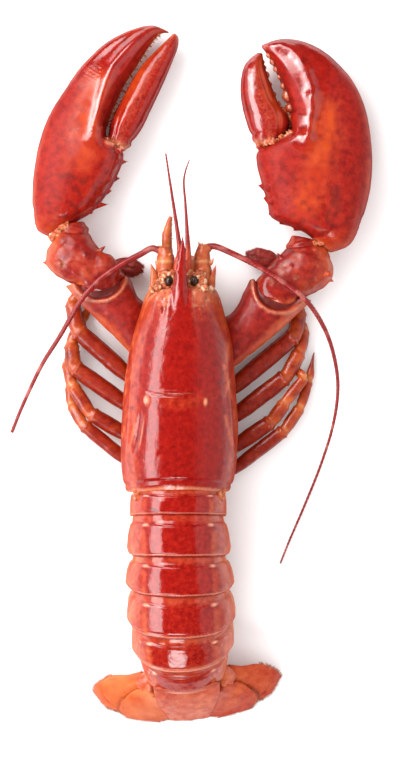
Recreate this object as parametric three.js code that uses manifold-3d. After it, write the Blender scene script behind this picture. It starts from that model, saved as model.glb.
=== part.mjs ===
// A whole cooked lobster lying on its belly, claws stretched forward and tail curled down. Millimetres, +Z up.
// The head points along +Y, and +X is the animal's right. Every shell piece that bends against its neighbour is a
// solid of its own, and neighbours keep a hair's breadth between them.
import * as THREE from "three";
import { mergeVertices } from "three/addons/utils/BufferGeometryUtils.js";
import Module from "manifold-3d";

// Driving dimensions. Body places are measured from the rear edge of the carapace, on the midline, at table height.
const BODY_AT = [-4.1, -47.4]; // where that point lies, so that the origin is under the middle of the whole
const GAP = 0.3; // between neighbouring shells
const CARAPACE_TOP = 44;
const CARAPACE_WIDEST_AT = 20; // height of the widest line of the carapace
const SHELL_SQUARE = 2.2; // 2 is an ellipse, and more is squarer
const THORAX_HALF_WIDTH = 14;
const THORAX_HEIGHT = 11;
const FAN_AT = [3, -86]; // middle of the tail fan's hinge line
const FAN_YAW = 4.5; // degrees that the fan is turned about the vertical
const EYE_RADIUS = 2.6;
const LEFT = -1;
const RIGHT = 1;
const bothSides = [LEFT, RIGHT];

const wasm = await Module();
wasm.setup();

const lobster = new THREE.Group();
lobster.position.set(BODY_AT[0], BODY_AT[1], 0);

const shellRed = material(0xb41a12, 0.3);
const clawRed = material(0xc43220, 0.3);
const limbOrange = material(0xc4481f, 0.4);
const feelerRed = material(0xb5333a, 0.45);
const fanOrange = material(0xdc6a44, 0.45);
const bellyPale = material(0xdd8a5c, 0.6);
const eyeBlack = material(0x150d0c, 0.15);

function material(color, roughness) {
  return new THREE.MeshStandardMaterial({ color, roughness, metalness: 0 });
}

// Places a finished shell in the lobster under its node name.
function place(name, solid, finish) {
  const mesh = new THREE.Mesh(geometryOf(solid), finish);
  mesh.name = name;
  lobster.add(mesh);
}

function solidOf(geometry) {
  const bare = geometry.clone();
  bare.deleteAttribute("normal");
  bare.deleteAttribute("uv");
  const merged = mergeVertices(bare, 1e-4);
  const mesh = new wasm.Mesh({
    numProp: 3,
    vertProperties: new Float32Array(merged.attributes.position.array),
    triVerts: new Uint32Array(merged.index.array),
  });
  return new wasm.Manifold(mesh);
}

function geometryOf(solid) {
  const mesh = solid.getMesh();
  const geometry = new THREE.BufferGeometry();
  geometry.setAttribute("position", new THREE.BufferAttribute(mesh.vertProperties, 3));
  geometry.setIndex(new THREE.BufferAttribute(mesh.triVerts, 1));
  return geometry;
}

const fuse = (first, ...others) => others.reduce((whole, piece) => whole.add(piece), first);
const cut = (first, ...tools) => tools.reduce((whole, tool) => whole.subtract(tool), first);

// Rows of numbers read as a smooth curve: count + 1 rows, evenly spaced along the given ones.
function between(rows, count) {
  const at = (i) => rows[Math.min(Math.max(i, 0), rows.length - 1)];
  return Array.from({ length: count + 1 }, (_, k) => {
    const t = (k / count) * (rows.length - 1);
    const i = Math.min(Math.floor(t), rows.length - 2);
    const f = t - i;
    return rows[0].map((_, c) => {
      const [a, b, d, e] = [at(i - 1)[c], at(i)[c], at(i + 1)[c], at(i + 2)[c]];
      return b + 0.5 * f * (d - a + f * (2 * a - 5 * b + 4 * d - e + f * (3 * (b - d) + e - a)));
    });
  });
}

// A closed skin through rings of points, with a point in the middle of each end.
function loft(rings) {
  const sides = rings[0].length;
  const middle = (ring) => ring.reduce((sum, p) => sum.add(p), new THREE.Vector3()).divideScalar(sides);
  const points = [middle(rings[0]), ...rings.flat(), middle(rings.at(-1))];
  const last = points.length - 1;
  const index = [];
  for (let s = 0; s < sides; s++) {
    const next = (s + 1) % sides;
    index.push(0, 1 + next, 1 + s);
    for (let r = 0; r < rings.length - 1; r++) {
      const [a, b] = [1 + r * sides + s, 1 + r * sides + next];
      index.push(a, b, b + sides, a, b + sides, a + sides);
    }
    index.push(last, last - sides + s, last - sides + next);
  }
  const geometry = new THREE.BufferGeometry().setFromPoints(points);
  geometry.setIndex(index);
  const made = solidOf(geometry);
  return made.volume() < 0 ? solidOf(flipped(geometry)) : made;
}

function flipped(geometry) {
  return geometry.clone().setIndex([...geometry.index.array].reverse());
}

// A rounded plate or claw. Each row: outer edge x y z, inner edge x y z, rise above and drop below the line between
// the edges, and where the crest lies on it, from -1 at the outer edge to 1 at the inner one.
function slab(rows, { steps = 12, sides = 16, square = 2, grow = 0 } = {}) {
  const sampled = between(rows, steps);
  const middles = sampled.map(([ox, oy, oz, ix, iy, iz]) =>
    new THREE.Vector3(ox + ix, oy + iy, oz + iz).multiplyScalar(0.5));
  return loft(sampled.map(([ox, oy, oz, ix, iy, iz, rise, drop, crest = 0], k) => {
    const across = new THREE.Vector3(ix - ox, iy - oy, iz - oz).multiplyScalar(0.5);
    const along = middles[Math.min(k + 1, steps)].clone().sub(middles[Math.max(k - 1, 0)]);
    const up = across.clone().cross(along).normalize();
    if (up.z < 0) up.negate();
    const end = k === 0 ? -grow : k === steps ? grow : 0;
    const centre = middles[k].clone().addScaledVector(along.normalize(), end);
    across.setLength(Math.max(across.length(), 0.05) + grow);
    return Array.from({ length: sides }, (_, s) => {
      const angle = ((s + 0.5) / sides) * 2 * Math.PI;
      const [c, h] = [bulge(Math.cos(angle), square), bulge(Math.sin(angle), square)];
      const side = c + crest * (1 - c * c) * Math.max(h, 0);
      return centre.clone().addScaledVector(across, side).addScaledVector(up, ((h > 0 ? rise : drop) + grow) * h);
    });
  }));
}

// The rows of a slab that lies level: outer x y, inner x y, height of both edges, rise, drop, crest.
function level(rows) {
  return rows.map(([ox, oy, ix, iy, z, rise, drop, crest = 0]) => [ox, oy, z, ix, iy, z, rise, drop, crest]);
}

const bulge = (x, square) => Math.sign(x) * Math.abs(x) ** (2 / square);

// A round limb. Each row: x y z, half width, half height.
function limb(rows, { steps = 8, sides = 8, grow = 0 } = {}) {
  const sampled = between(rows, steps);
  const centres = sampled.map(([x, y, z]) => new THREE.Vector3(x, y, z));
  return loft(sampled.map(([, , , width, height], k) => {
    const along = centres[Math.min(k + 1, steps)].clone().sub(centres[Math.max(k - 1, 0)]).normalize();
    const side = new THREE.Vector3(along.y, -along.x, 0).normalize();
    const up = side.clone().cross(along);
    const end = k === 0 ? -grow : k === steps ? grow : 0;
    const centre = centres[k].clone().addScaledVector(along, end);
    return Array.from({ length: sides }, (_, s) => {
      const angle = ((s + 0.5) / sides) * 2 * Math.PI;
      return centre.clone()
        .addScaledVector(side, (width + grow) * Math.cos(angle))
        .addScaledVector(up, (height + grow) * Math.sin(angle));
    });
  }));
}

// A spine: a cone whose foot is sunk in the shell.
function spine(foot, tip, radius) {
  const [from, to] = [new THREE.Vector3(...foot), new THREE.Vector3(...tip)];
  const axis = to.clone().sub(from);
  const cone = new THREE.ConeGeometry(radius, axis.length(), 5);
  cone.translate(0, axis.length() / 2, 0);
  cone.applyQuaternion(new THREE.Quaternion().setFromUnitVectors(new THREE.Vector3(0, 1, 0), axis.normalize()));
  cone.translate(from.x, from.y, from.z);
  return solidOf(cone);
}

// The carapace: a barrel that narrows to the head. Rows: y, left x, right x, top z, belly z.
const CARAPACE_ROWS = [
  [-2, -22.4, 20.6, 39, 14],
  [4, -24.1, 22.8, 41.5, 12.5],
  [13, -24.9, 23.9, CARAPACE_TOP - 1, 11.8],
  [26, -24.6, 24.4, CARAPACE_TOP, 11.5],
  [39, -23.7, 23.5, CARAPACE_TOP, 11.5],
  [51, -22.3, 22.7, CARAPACE_TOP - 0.5, 11.5],
  [62, -20.2, 21.4, 43, 12],
  [72, -17.2, 18.9, 41.5, 13],
  [79, -15, 16.9, 39.8, 14.2],
  [83, -13, 15, 38, 15.6],
];

function barrel(rows, { steps = 12, sides = 20, grow = 0 } = {}) {
  const sampled = between(rows, steps);
  return loft(sampled.map(([y, left, right, top, belly], k) => {
    const end = k === 0 ? -grow : k === steps ? grow : 0;
    return Array.from({ length: sides }, (_, s) => {
      const angle = ((s + 0.5) / sides) * 2 * Math.PI;
      const [c, h] = [Math.cos(angle), Math.sin(angle)];
      const half = (right - left) / 2 + grow;
      const reach = h > 0 ? top - CARAPACE_WIDEST_AT : CARAPACE_WIDEST_AT - belly;
      const x = (left + right) / 2 + half * bulge(c, SHELL_SQUARE) * (h < 0 ? 1 - 0.2 * h * h : 1);
      return new THREE.Vector3(x, y + end, CARAPACE_WIDEST_AT + (reach + grow) * bulge(h, SHELL_SQUARE));
    });
  }));
}

const ROSTRUM_ROWS = [
  [0.2, 76, 38.5, 3.6, 2.6],
  [0.2, 84, 37.2, 3, 2.4],
  [0.5, 92, 37.2, 2, 1.7],
  [1, 99, 38.4, 1.3, 1.1],
  [1.3, 105.4, 40.2, 0.25, 0.25],
];
const ROSTRUM_SPINES = [[89.5, 2.6], [93.5, 2], [97.5, 1.4]]; // place along the head, reach to each side

function rostrum() {
  const spines = bothSides.flatMap((side) => ROSTRUM_SPINES.map(([y, reach]) =>
    spine([0.5 + side * 0.6, y - 1.6, 37.4], [0.6 + side * (reach + 0.9), y + 2, 38.8], 0.9)));
  return fuse(limb(ROSTRUM_ROWS, { steps: 6, sides: 10 }), ...spines);
}

// Height of the shell over a place on the table.
function carapaceTopAt(x, y) {
  const last = CARAPACE_ROWS.findIndex((row) => row[0] >= y);
  const [a, b] = [CARAPACE_ROWS[last - 1], CARAPACE_ROWS[last]];
  const [, left, right, top] = a.map((value, c) => value + ((b[c] - value) * (y - a[0])) / (b[0] - a[0]));
  const across = Math.abs((2 * x - left - right) / (right - left));
  return CARAPACE_WIDEST_AT + (top - CARAPACE_WIDEST_AT) * (1 - across ** SHELL_SQUARE) ** (1 / SHELL_SQUARE);
}

// The neck groove crosses the back behind the middle and runs forward down both flanks.
const GROOVE_AT = 38.4;
const GROOVE_HALF_WIDTH = 0.9;
const GROOVE_REACH = 21; // to each side of the midline
const GROOVE_FORWARD = 13; // how far its ends lie ahead of its middle

function groove() {
  const rows = Array.from({ length: 13 }, (_, k) => {
    const part = k / 6 - 1;
    const [x, y] = [GROOVE_REACH * part, GROOVE_AT + GROOVE_FORWARD * Math.abs(part) ** 2.4];
    return [x, y, carapaceTopAt(x, y) + 0.2, GROOVE_HALF_WIDTH, GROOVE_HALF_WIDTH];
  });
  return limb(rows, { steps: 10, sides: 5 });
}

const carapaceTool = fuse(barrel(CARAPACE_ROWS, { grow: GAP }), limb(ROSTRUM_ROWS, { steps: 6, sides: 10, grow: GAP }));
place("carapace", cut(fuse(barrel(CARAPACE_ROWS), rostrum()), groove()), shellRed);

// The underside of the thorax: a keel with a flat foot, and a pair of hips for each pair of limbs.
const KEEL_ROUNDING = 0.8;
const KEEL_LENGTH = [2, 78]; // from its rear end to its front end
const KEEL_END_HALF_WIDTH = 8.5;

function keel(grow = 0) {
  const [rear, front] = KEEL_LENGTH;
  const outline = new THREE.Shape();
  outline.moveTo(-KEEL_END_HALF_WIDTH, rear);
  outline.quadraticCurveTo(-THORAX_HALF_WIDTH, (rear + front) / 2, -KEEL_END_HALF_WIDTH, front);
  outline.lineTo(KEEL_END_HALF_WIDTH, front);
  outline.quadraticCurveTo(THORAX_HALF_WIDTH, (rear + front) / 2, KEEL_END_HALF_WIDTH, rear);
  outline.closePath();
  const block = new THREE.ExtrudeGeometry(outline, {
    depth: THORAX_HEIGHT + grow - 2 * KEEL_ROUNDING,
    steps: 1,
    curveSegments: 6,
    bevelThickness: KEEL_ROUNDING,
    bevelSize: KEEL_ROUNDING + grow,
    bevelSegments: 1,
  });
  block.translate(0, 0, KEEL_ROUNDING);
  return solidOf(block);
}

// Hips of the arms and of the four pairs of legs: place along the thorax on the left and on the right, height, reach
// to the side, thickness.
const HIPS = [[63, 63, 7.6, 16.6, 4.6], [46, 41, 6.4, 19, 3.2], [33.4, 28.6, 6.4, 19, 3.2], [20.8, 16, 6.4, 19, 3.2],
  [10.4, 7, 6.4, 19, 3.2]];

function hip(side, [leftY, rightY, z, reach, thick], grow = 0) {
  const y = side === LEFT ? leftY : rightY;
  const inner = reach - 9;
  return limb([
    [side * inner, y - 2, z - 1.2, thick * 1.3, thick * 1.1],
    [side * (inner + 5), y - 1, z - 0.6, thick * 1.2, thick],
    [side * reach, y, z, thick, thick * 0.9],
  ], { steps: 2, sides: 6, grow });
}
const hips = (grow = 0) => bothSides.flatMap((side) => HIPS.map((row) => hip(side, row, grow)));
place("thorax", cut(fuse(keel(), ...hips()), carapaceTool), bellyPale);
const thoraxTool = fuse(keel(GAP), ...hips(GAP));

// The face: the pale block in front of the carapace that carries the eyes, the feelers and the mouth legs.
const FACE_ROWS = [[0.8, 83.4, 24.6, 10.6, 8], [0.8, 86, 24.6, 9.6, 7.6], [0.8, 89.6, 24.4, 7, 5.4]];
const face = (grow = 0) => limb(FACE_ROWS, { steps: 3, sides: 14, grow });
place("face", cut(face(), carapaceTool), bellyPale);
const faceTool = face(GAP);

const HEAD = {
  left: {
    eye: [-4.6, 86.2, 33],
    feelerBase: [[-6, 86.4, 25.6, 3.6, 3.6], [-6, 91, 25.8, 3.9, 4], [-6, 96, 26, 3.6, 3.6], [-6.6, 100.4, 26, 2.4, 2.4]],
    feeler: [[-8, 98.7, 26], [-11.8, 100, 26.2], [-16.8, 97.4, 26.4], [-25.2, 92.8, 27.4], [-34.4, 86.1, 27.8],
      [-42, 77.3, 26.8], [-50.4, 63.4, 20], [-58, 51.7, 12.5], [-63.8, 40.3, 6.5], [-68, 31.1, 2.8], [-71.4, 22.7, 1.2]],
    feelerEnd: 0.7,
    smallFeeler: [[-1.4, 88.4, 29.4, 1.7, 1.6], [-0.8, 94, 31, 1.6, 1.5], [-0.1, 99, 32, 1.2, 1.2],
      [-1.3, 108.8, 33, 0.85, 0.85], [-3.4, 122.6, 33.4, 0.65, 0.65], [-5.9, 139.4, 33, 0.35, 0.35]],
    scale: [[-12.8, 83.6, -8.4, 83.8, 27, 1.2, 1.2], [-12.4, 88, -8.8, 88, 27.4, 1, 1],
      [-12.3, 90.6, -10, 90.6, 27.8, 0.8, 0.8], [-12.2, 93.4, -11.9, 93.3, 28.2, 0.3, 0.3]],
    mouthLeg: [[-4.6, 79.6, 10.4, 2.6, 2.8], [-4.8, 87, 13.6, 2.6, 2.8], [-5.4, 98, 18.4, 2.3, 2.6],
      [-5.4, 106, 20.5, 2, 2.1], [-4, 113.6, 21, 0.7, 0.8]],
  },
  right: {
    eye: [5.9, 86.2, 33],
    feelerBase: [[9.2, 85.6, 25.6, 3.4, 3.6], [9.5, 91, 25.8, 3.6, 4], [9.3, 97, 26, 3.2, 3.4], [10.2, 101.4, 26, 2.2, 2.2]],
    feeler: [[10.9, 100.4, 26], [14.7, 100.8, 26.4], [21, 98.3, 27], [32.8, 92.4, 28], [43.3, 85.7, 28.4],
      [52.5, 78.5, 27.4], [60.1, 67.6, 21], [64.7, 55.4, 14], [66.6, 41.6, 8], [64.7, 26, 4], [59.6, 9.2, 2],
      [52.9, -7.6, 1.2], [46.6, -22.3, 0.9], [42.4, -32.8, 0.7]],
    feelerEnd: 0.35,
    smallFeeler: [[2.8, 88.4, 29.4, 1.7, 1.6], [3.2, 94, 31, 1.6, 1.5], [3.4, 99, 32, 1.2, 1.2],
      [2.9, 108.8, 33, 0.8, 0.8], [2.3, 118.4, 33.2, 0.6, 0.6], [1.7, 128.9, 33, 0.45, 0.45], [4, 136.9, 32.6, 0.3, 0.3]],
    scale: [[14.8, 83.6, 10.4, 83.8, 27, 1.2, 1.2], [14.9, 88, 12.2, 88, 27.4, 1, 1],
      [15, 90, 13.2, 90, 27.8, 0.8, 0.8], [15.1, 92.8, 14.9, 92.8, 28.2, 0.3, 0.3]],
    mouthLeg: [[4.8, 79.6, 10.4, 2.6, 2.8], [5, 86, 12.6, 2.6, 2.8], [5, 91.6, 12.4, 2.3, 2.4],
      [4.8, 95.4, 9.4, 1.9, 1.9], [4.6, 96.6, 5.4, 0.8, 0.8]],
  },
};
const FEELER_RADIUS = 1.45;
const sideNames = new Map([[LEFT, "left"], [RIGHT, "right"]]);

for (const name of sideNames.values()) {
  const head = HEAD[name];
  const eye = new THREE.SphereGeometry(EYE_RADIUS, 10, 6);
  eye.translate(...head.eye);
  place(`${name}_eye`, cut(solidOf(eye), faceTool), eyeBlack);

  const base = (grow) => limb(head.feelerBase, { steps: 5, sides: 10, grow });
  place(`${name}_feeler_base`, cut(base(0), faceTool), clawRed);

  const last = head.feeler.length - 1;
  const feelerRows = head.feeler.map(([x, y, z], k) => {
    const radius = FEELER_RADIUS + ((head.feelerEnd - FEELER_RADIUS) * k) / last;
    return [x, y, z, radius, radius];
  });
  place(`${name}_feeler`, cut(limb(feelerRows, { steps: 17, sides: 6 }), base(GAP)), feelerRed);

  place(`${name}_small_feeler`, cut(limb(head.smallFeeler, { steps: 10, sides: 6 }), faceTool), feelerRed);
  place(`${name}_scale`, cut(slab(level(head.scale), { steps: 4, sides: 8 }), faceTool, carapaceTool, base(GAP)), limbOrange);
  const mouthLeg = limb(head.mouthLeg, { steps: 6, sides: 8 });
  place(`${name}_mouth_leg`, cut(mouthLeg, faceTool, carapaceTool, thoraxTool, base(GAP)), limbOrange);
}

// The abdomen. Rows, at each shell's rear rim: midline x, top y, top z, slope down of the tail there, yaw, half
// width, depth from the top to the tips of the side flaps.
const RIMS = [
  [-0.6, -0.6, 41, 0, 0, 20, 33],
  [-0.8, -10.5, 42, -3, 0, 20.4, 34.5],
  [-0.4, -28.1, 44.2, 0, 0, 21, 36],
  [0, -44.9, 44.6, 9, 0, 21.4, 34],
  [0.6, -62.6, 41.4, 21, 1, 21.2, 31],
  [1.4, -76.9, 34.6, 38, 3, 19.6, 27],
  [2.6, -86.6, 25, 58, FAN_YAW, 16.2, 20],
];
const PLEURON_REACH = [0.02, 0.2, 0.2, 0.2, 0.18, 0.1]; // how far each shell's side flap hangs, against its depth
const PLEURON_FLARE = [0, 0.9, 1.5, 1.6, 1.5, 0.4]; // how far its rear corner stands out

// One slice of a tail shell: a dome, flaps at both sides and a flat belly between them.
function tailRing([x, y, z, slope, yaw, half, depth], hang, flare, size, grow, arcs) {
  const [tilt, turn] = [THREE.MathUtils.degToRad(slope), THREE.MathUtils.degToRad(yaw)];
  const domeDepth = 0.55 * depth;
  const profile = [];
  for (let k = 0; k <= arcs; k++) {
    const angle = Math.PI * (k / arcs - 0.5);
    const across = (half + flare * Math.abs(Math.sin(angle)) ** 6) * bulge(Math.sin(angle), 2.1);
    profile.push([across * size, domeDepth * (1 - size * bulge(Math.cos(angle), 2.1)), 1]);
  }
  const tip = domeDepth + (0.22 + hang) * depth;
  const flap = [[half + flare, tip * 0.9, 1], [0.97 * (half + flare), tip, 1], [0.86 * half, tip * 0.99, -1],
    [0.8 * half, 0.76 * depth, -1], [0.45 * half, 0.72 * depth, -1]];
  profile.push(...flap.map(([a, d, s]) => [a * size, d, s]));
  profile.push(...flap.reverse().map(([a, d, s]) => [-a * size, d, s]));
  return profile.map(([across, down, outside]) => {
    const swell = 1 + (outside * grow) / half;
    const d = down < 1 ? down - grow : down + (down > 0.7 * depth ? grow : 0);
    const a = across * swell;
    return new THREE.Vector3(x + a * Math.cos(turn), y + d * Math.sin(tilt) + a * Math.sin(turn), z - d * Math.cos(tilt));
  });
}

function somite(number, { arcs = 12, grow = 0 } = {}) {
  const [front, rear] = [RIMS[number - 1], RIMS[number]];
  const lengthwise = [0, 0.18, 0.26, 0.5, 0.8, 1];
  const sizes = [0.945, 0.955, 0.985, 1, 1, 0.99];
  const hangs = [0, 0.45, 0.7, 1, 0.85, 0.1];
  const flares = [0, 0.05, 0.1, 0.45, 1, 0.8];
  const hair = GAP / 2 / Math.hypot(rear[1] - front[1], rear[2] - front[2]);
  return loft(lengthwise.map((t, k) => {
    const inset = t === 0 ? hair : t === 1 ? 1 - hair : t;
    const row = front.map((value, c) => value + (rear[c] - value) * inset);
    const [hang, flare] = [hangs[k] * PLEURON_REACH[number - 1], flares[k] * PLEURON_FLARE[number - 1]];
    return tailRing(row, hang, flare, sizes[k], grow, arcs);
  }));
}

// The swimmerets: a pair of small leaves that hang from the belly of shells 1 to 5 and lie back along it.
function swimmeret(number, side) {
  const [x, y, z, slope, , half, depth] = RIMS[number - 1].map((value, c) => (value + RIMS[number][c]) / 2);
  const tilt = THREE.MathUtils.degToRad(slope);
  const at = (across, down, back) => [
    x + side * across * half,
    y + down * depth * Math.sin(tilt) - back * Math.cos(tilt),
    z - down * depth * Math.cos(tilt) - back * Math.sin(tilt),
  ];
  return limb([[...at(0.4, 0.68, -2), 1.6, 0.8], [...at(0.42, 0.77, 1), 2, 0.8], [...at(0.4, 0.82, 6), 3, 0.7],
    [...at(0.38, 0.84, 11), 1.4, 0.4]], { steps: 3, sides: 6 });
}

for (let number = 1; number <= 6; number++) {
  const leaves = number < 6 ? bothSides.map((side) => swimmeret(number, side)) : [];
  const others = number === 1 ? [carapaceTool] : [];
  place(`somite_${number}`, cut(fuse(somite(number), ...leaves), ...others), shellRed);
}

// The tail fan, in its own frame: x outwards from the fan's axis, y back from its hinge line, z from the table.
function fanPoint(side, [x, y, z]) {
  const turn = THREE.MathUtils.degToRad(FAN_YAW);
  return [
    FAN_AT[0] + side * x * Math.cos(turn) - y * Math.sin(turn),
    FAN_AT[1] + side * x * Math.sin(turn) + y * Math.cos(turn),
    z,
  ];
}
const fanRows = (side, rows) => rows.map(([edge, other, thick]) =>
  [...fanPoint(side, edge), ...fanPoint(side, other), thick, thick * 0.6, 0]);

const TELSON_ROWS = [
  [[-14, 3.4, 25], [14, 3.4, 25], 2],
  [[-13, -3, 17], [13, -3, 17], 1.7],
  [[-11.2, -7.4, 9.6], [11.2, -7.4, 9.6], 1.4],
  [[-9.2, -10.6, 3.6], [9.2, -10.6, 3.6], 1],
  [[-7.8, -12.2, 1.4], [7.8, -12.2, 1.4], 0.8],
  [[-5.4, -12.7, 0.9], [5.4, -12.7, 0.9], 0.5],
];
const INNER_BLADE_ROWS = [
  [[15.2, 2, 18.6], [11.6, -1.2, 17.8], 1.6],
  [[21.6, 2.2, 14.4], [10.9, -5, 11.4], 1.7],
  [[26.8, -1.6, 10], [9.9, -8.6, 6], 1.4],
  [[29.2, -6, 4.6], [8.9, -11.4, 2.2], 1.1],
  [[26, -10, 1.2], [13, -12.6, 1], 0.6],
];
const OUTER_BLADE_ROWS = [
  [[18.4, 10, 16.6], [16.6, 3.4, 14.8], 1.6],
  [[24, 8.8, 15], [20.8, 0.6, 10.2], 1.7],
  [[31, 8.9, 12], [25.2, -3.2, 6], 1.5],
  [[37.6, 5.6, 7.4], [29.6, -6.6, 2], 1.2],
  [[39.6, 2.4, 3.6], [35, -4.4, 1.2], 0.6],
];
// The stub that carries both blades of one side, below the rear corner of the last tail shell.
const FAN_STUB_ROWS = [[12.4, 8, 17.6, 4, 3.4], [16.2, 5.6, 16.4, 4.4, 3.4], [19.4, 3.6, 14.6, 3.6, 2.4]];

const telson = (grow = 0) => slab(fanRows(RIGHT, TELSON_ROWS), { steps: 6, sides: 12, square: 2.6, grow });
const lastShellTool = somite(6, { grow: GAP });
place("telson", cut(telson(), lastShellTool), fanOrange);
const telsonTool = telson(GAP);
const blade = (side, rows, grow = 0) => slab(fanRows(side, rows), { steps: 7, sides: 12, square: 2.6, grow });
for (const [side, name] of sideNames) {
  const inner = cut(blade(side, INNER_BLADE_ROWS), telsonTool, lastShellTool);
  place(`${name}_inner_blade`, inner, fanOrange);
  const innerTool = blade(side, INNER_BLADE_ROWS, GAP);
  const outer = cut(blade(side, OUTER_BLADE_ROWS), lastShellTool, innerTool);
  place(`${name}_outer_blade`, outer, fanOrange);
  const stubRows = FAN_STUB_ROWS.map(([x, y, z, width, height]) => [...fanPoint(side, [x, y, z]), width, height]);
  const stub = limb(stubRows, { steps: 3, sides: 10 });
  place(`${name}_fan_stub`, cut(stub, lastShellTool, innerTool, telsonTool, blade(side, OUTER_BLADE_ROWS, GAP)), fanOrange);
}

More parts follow.
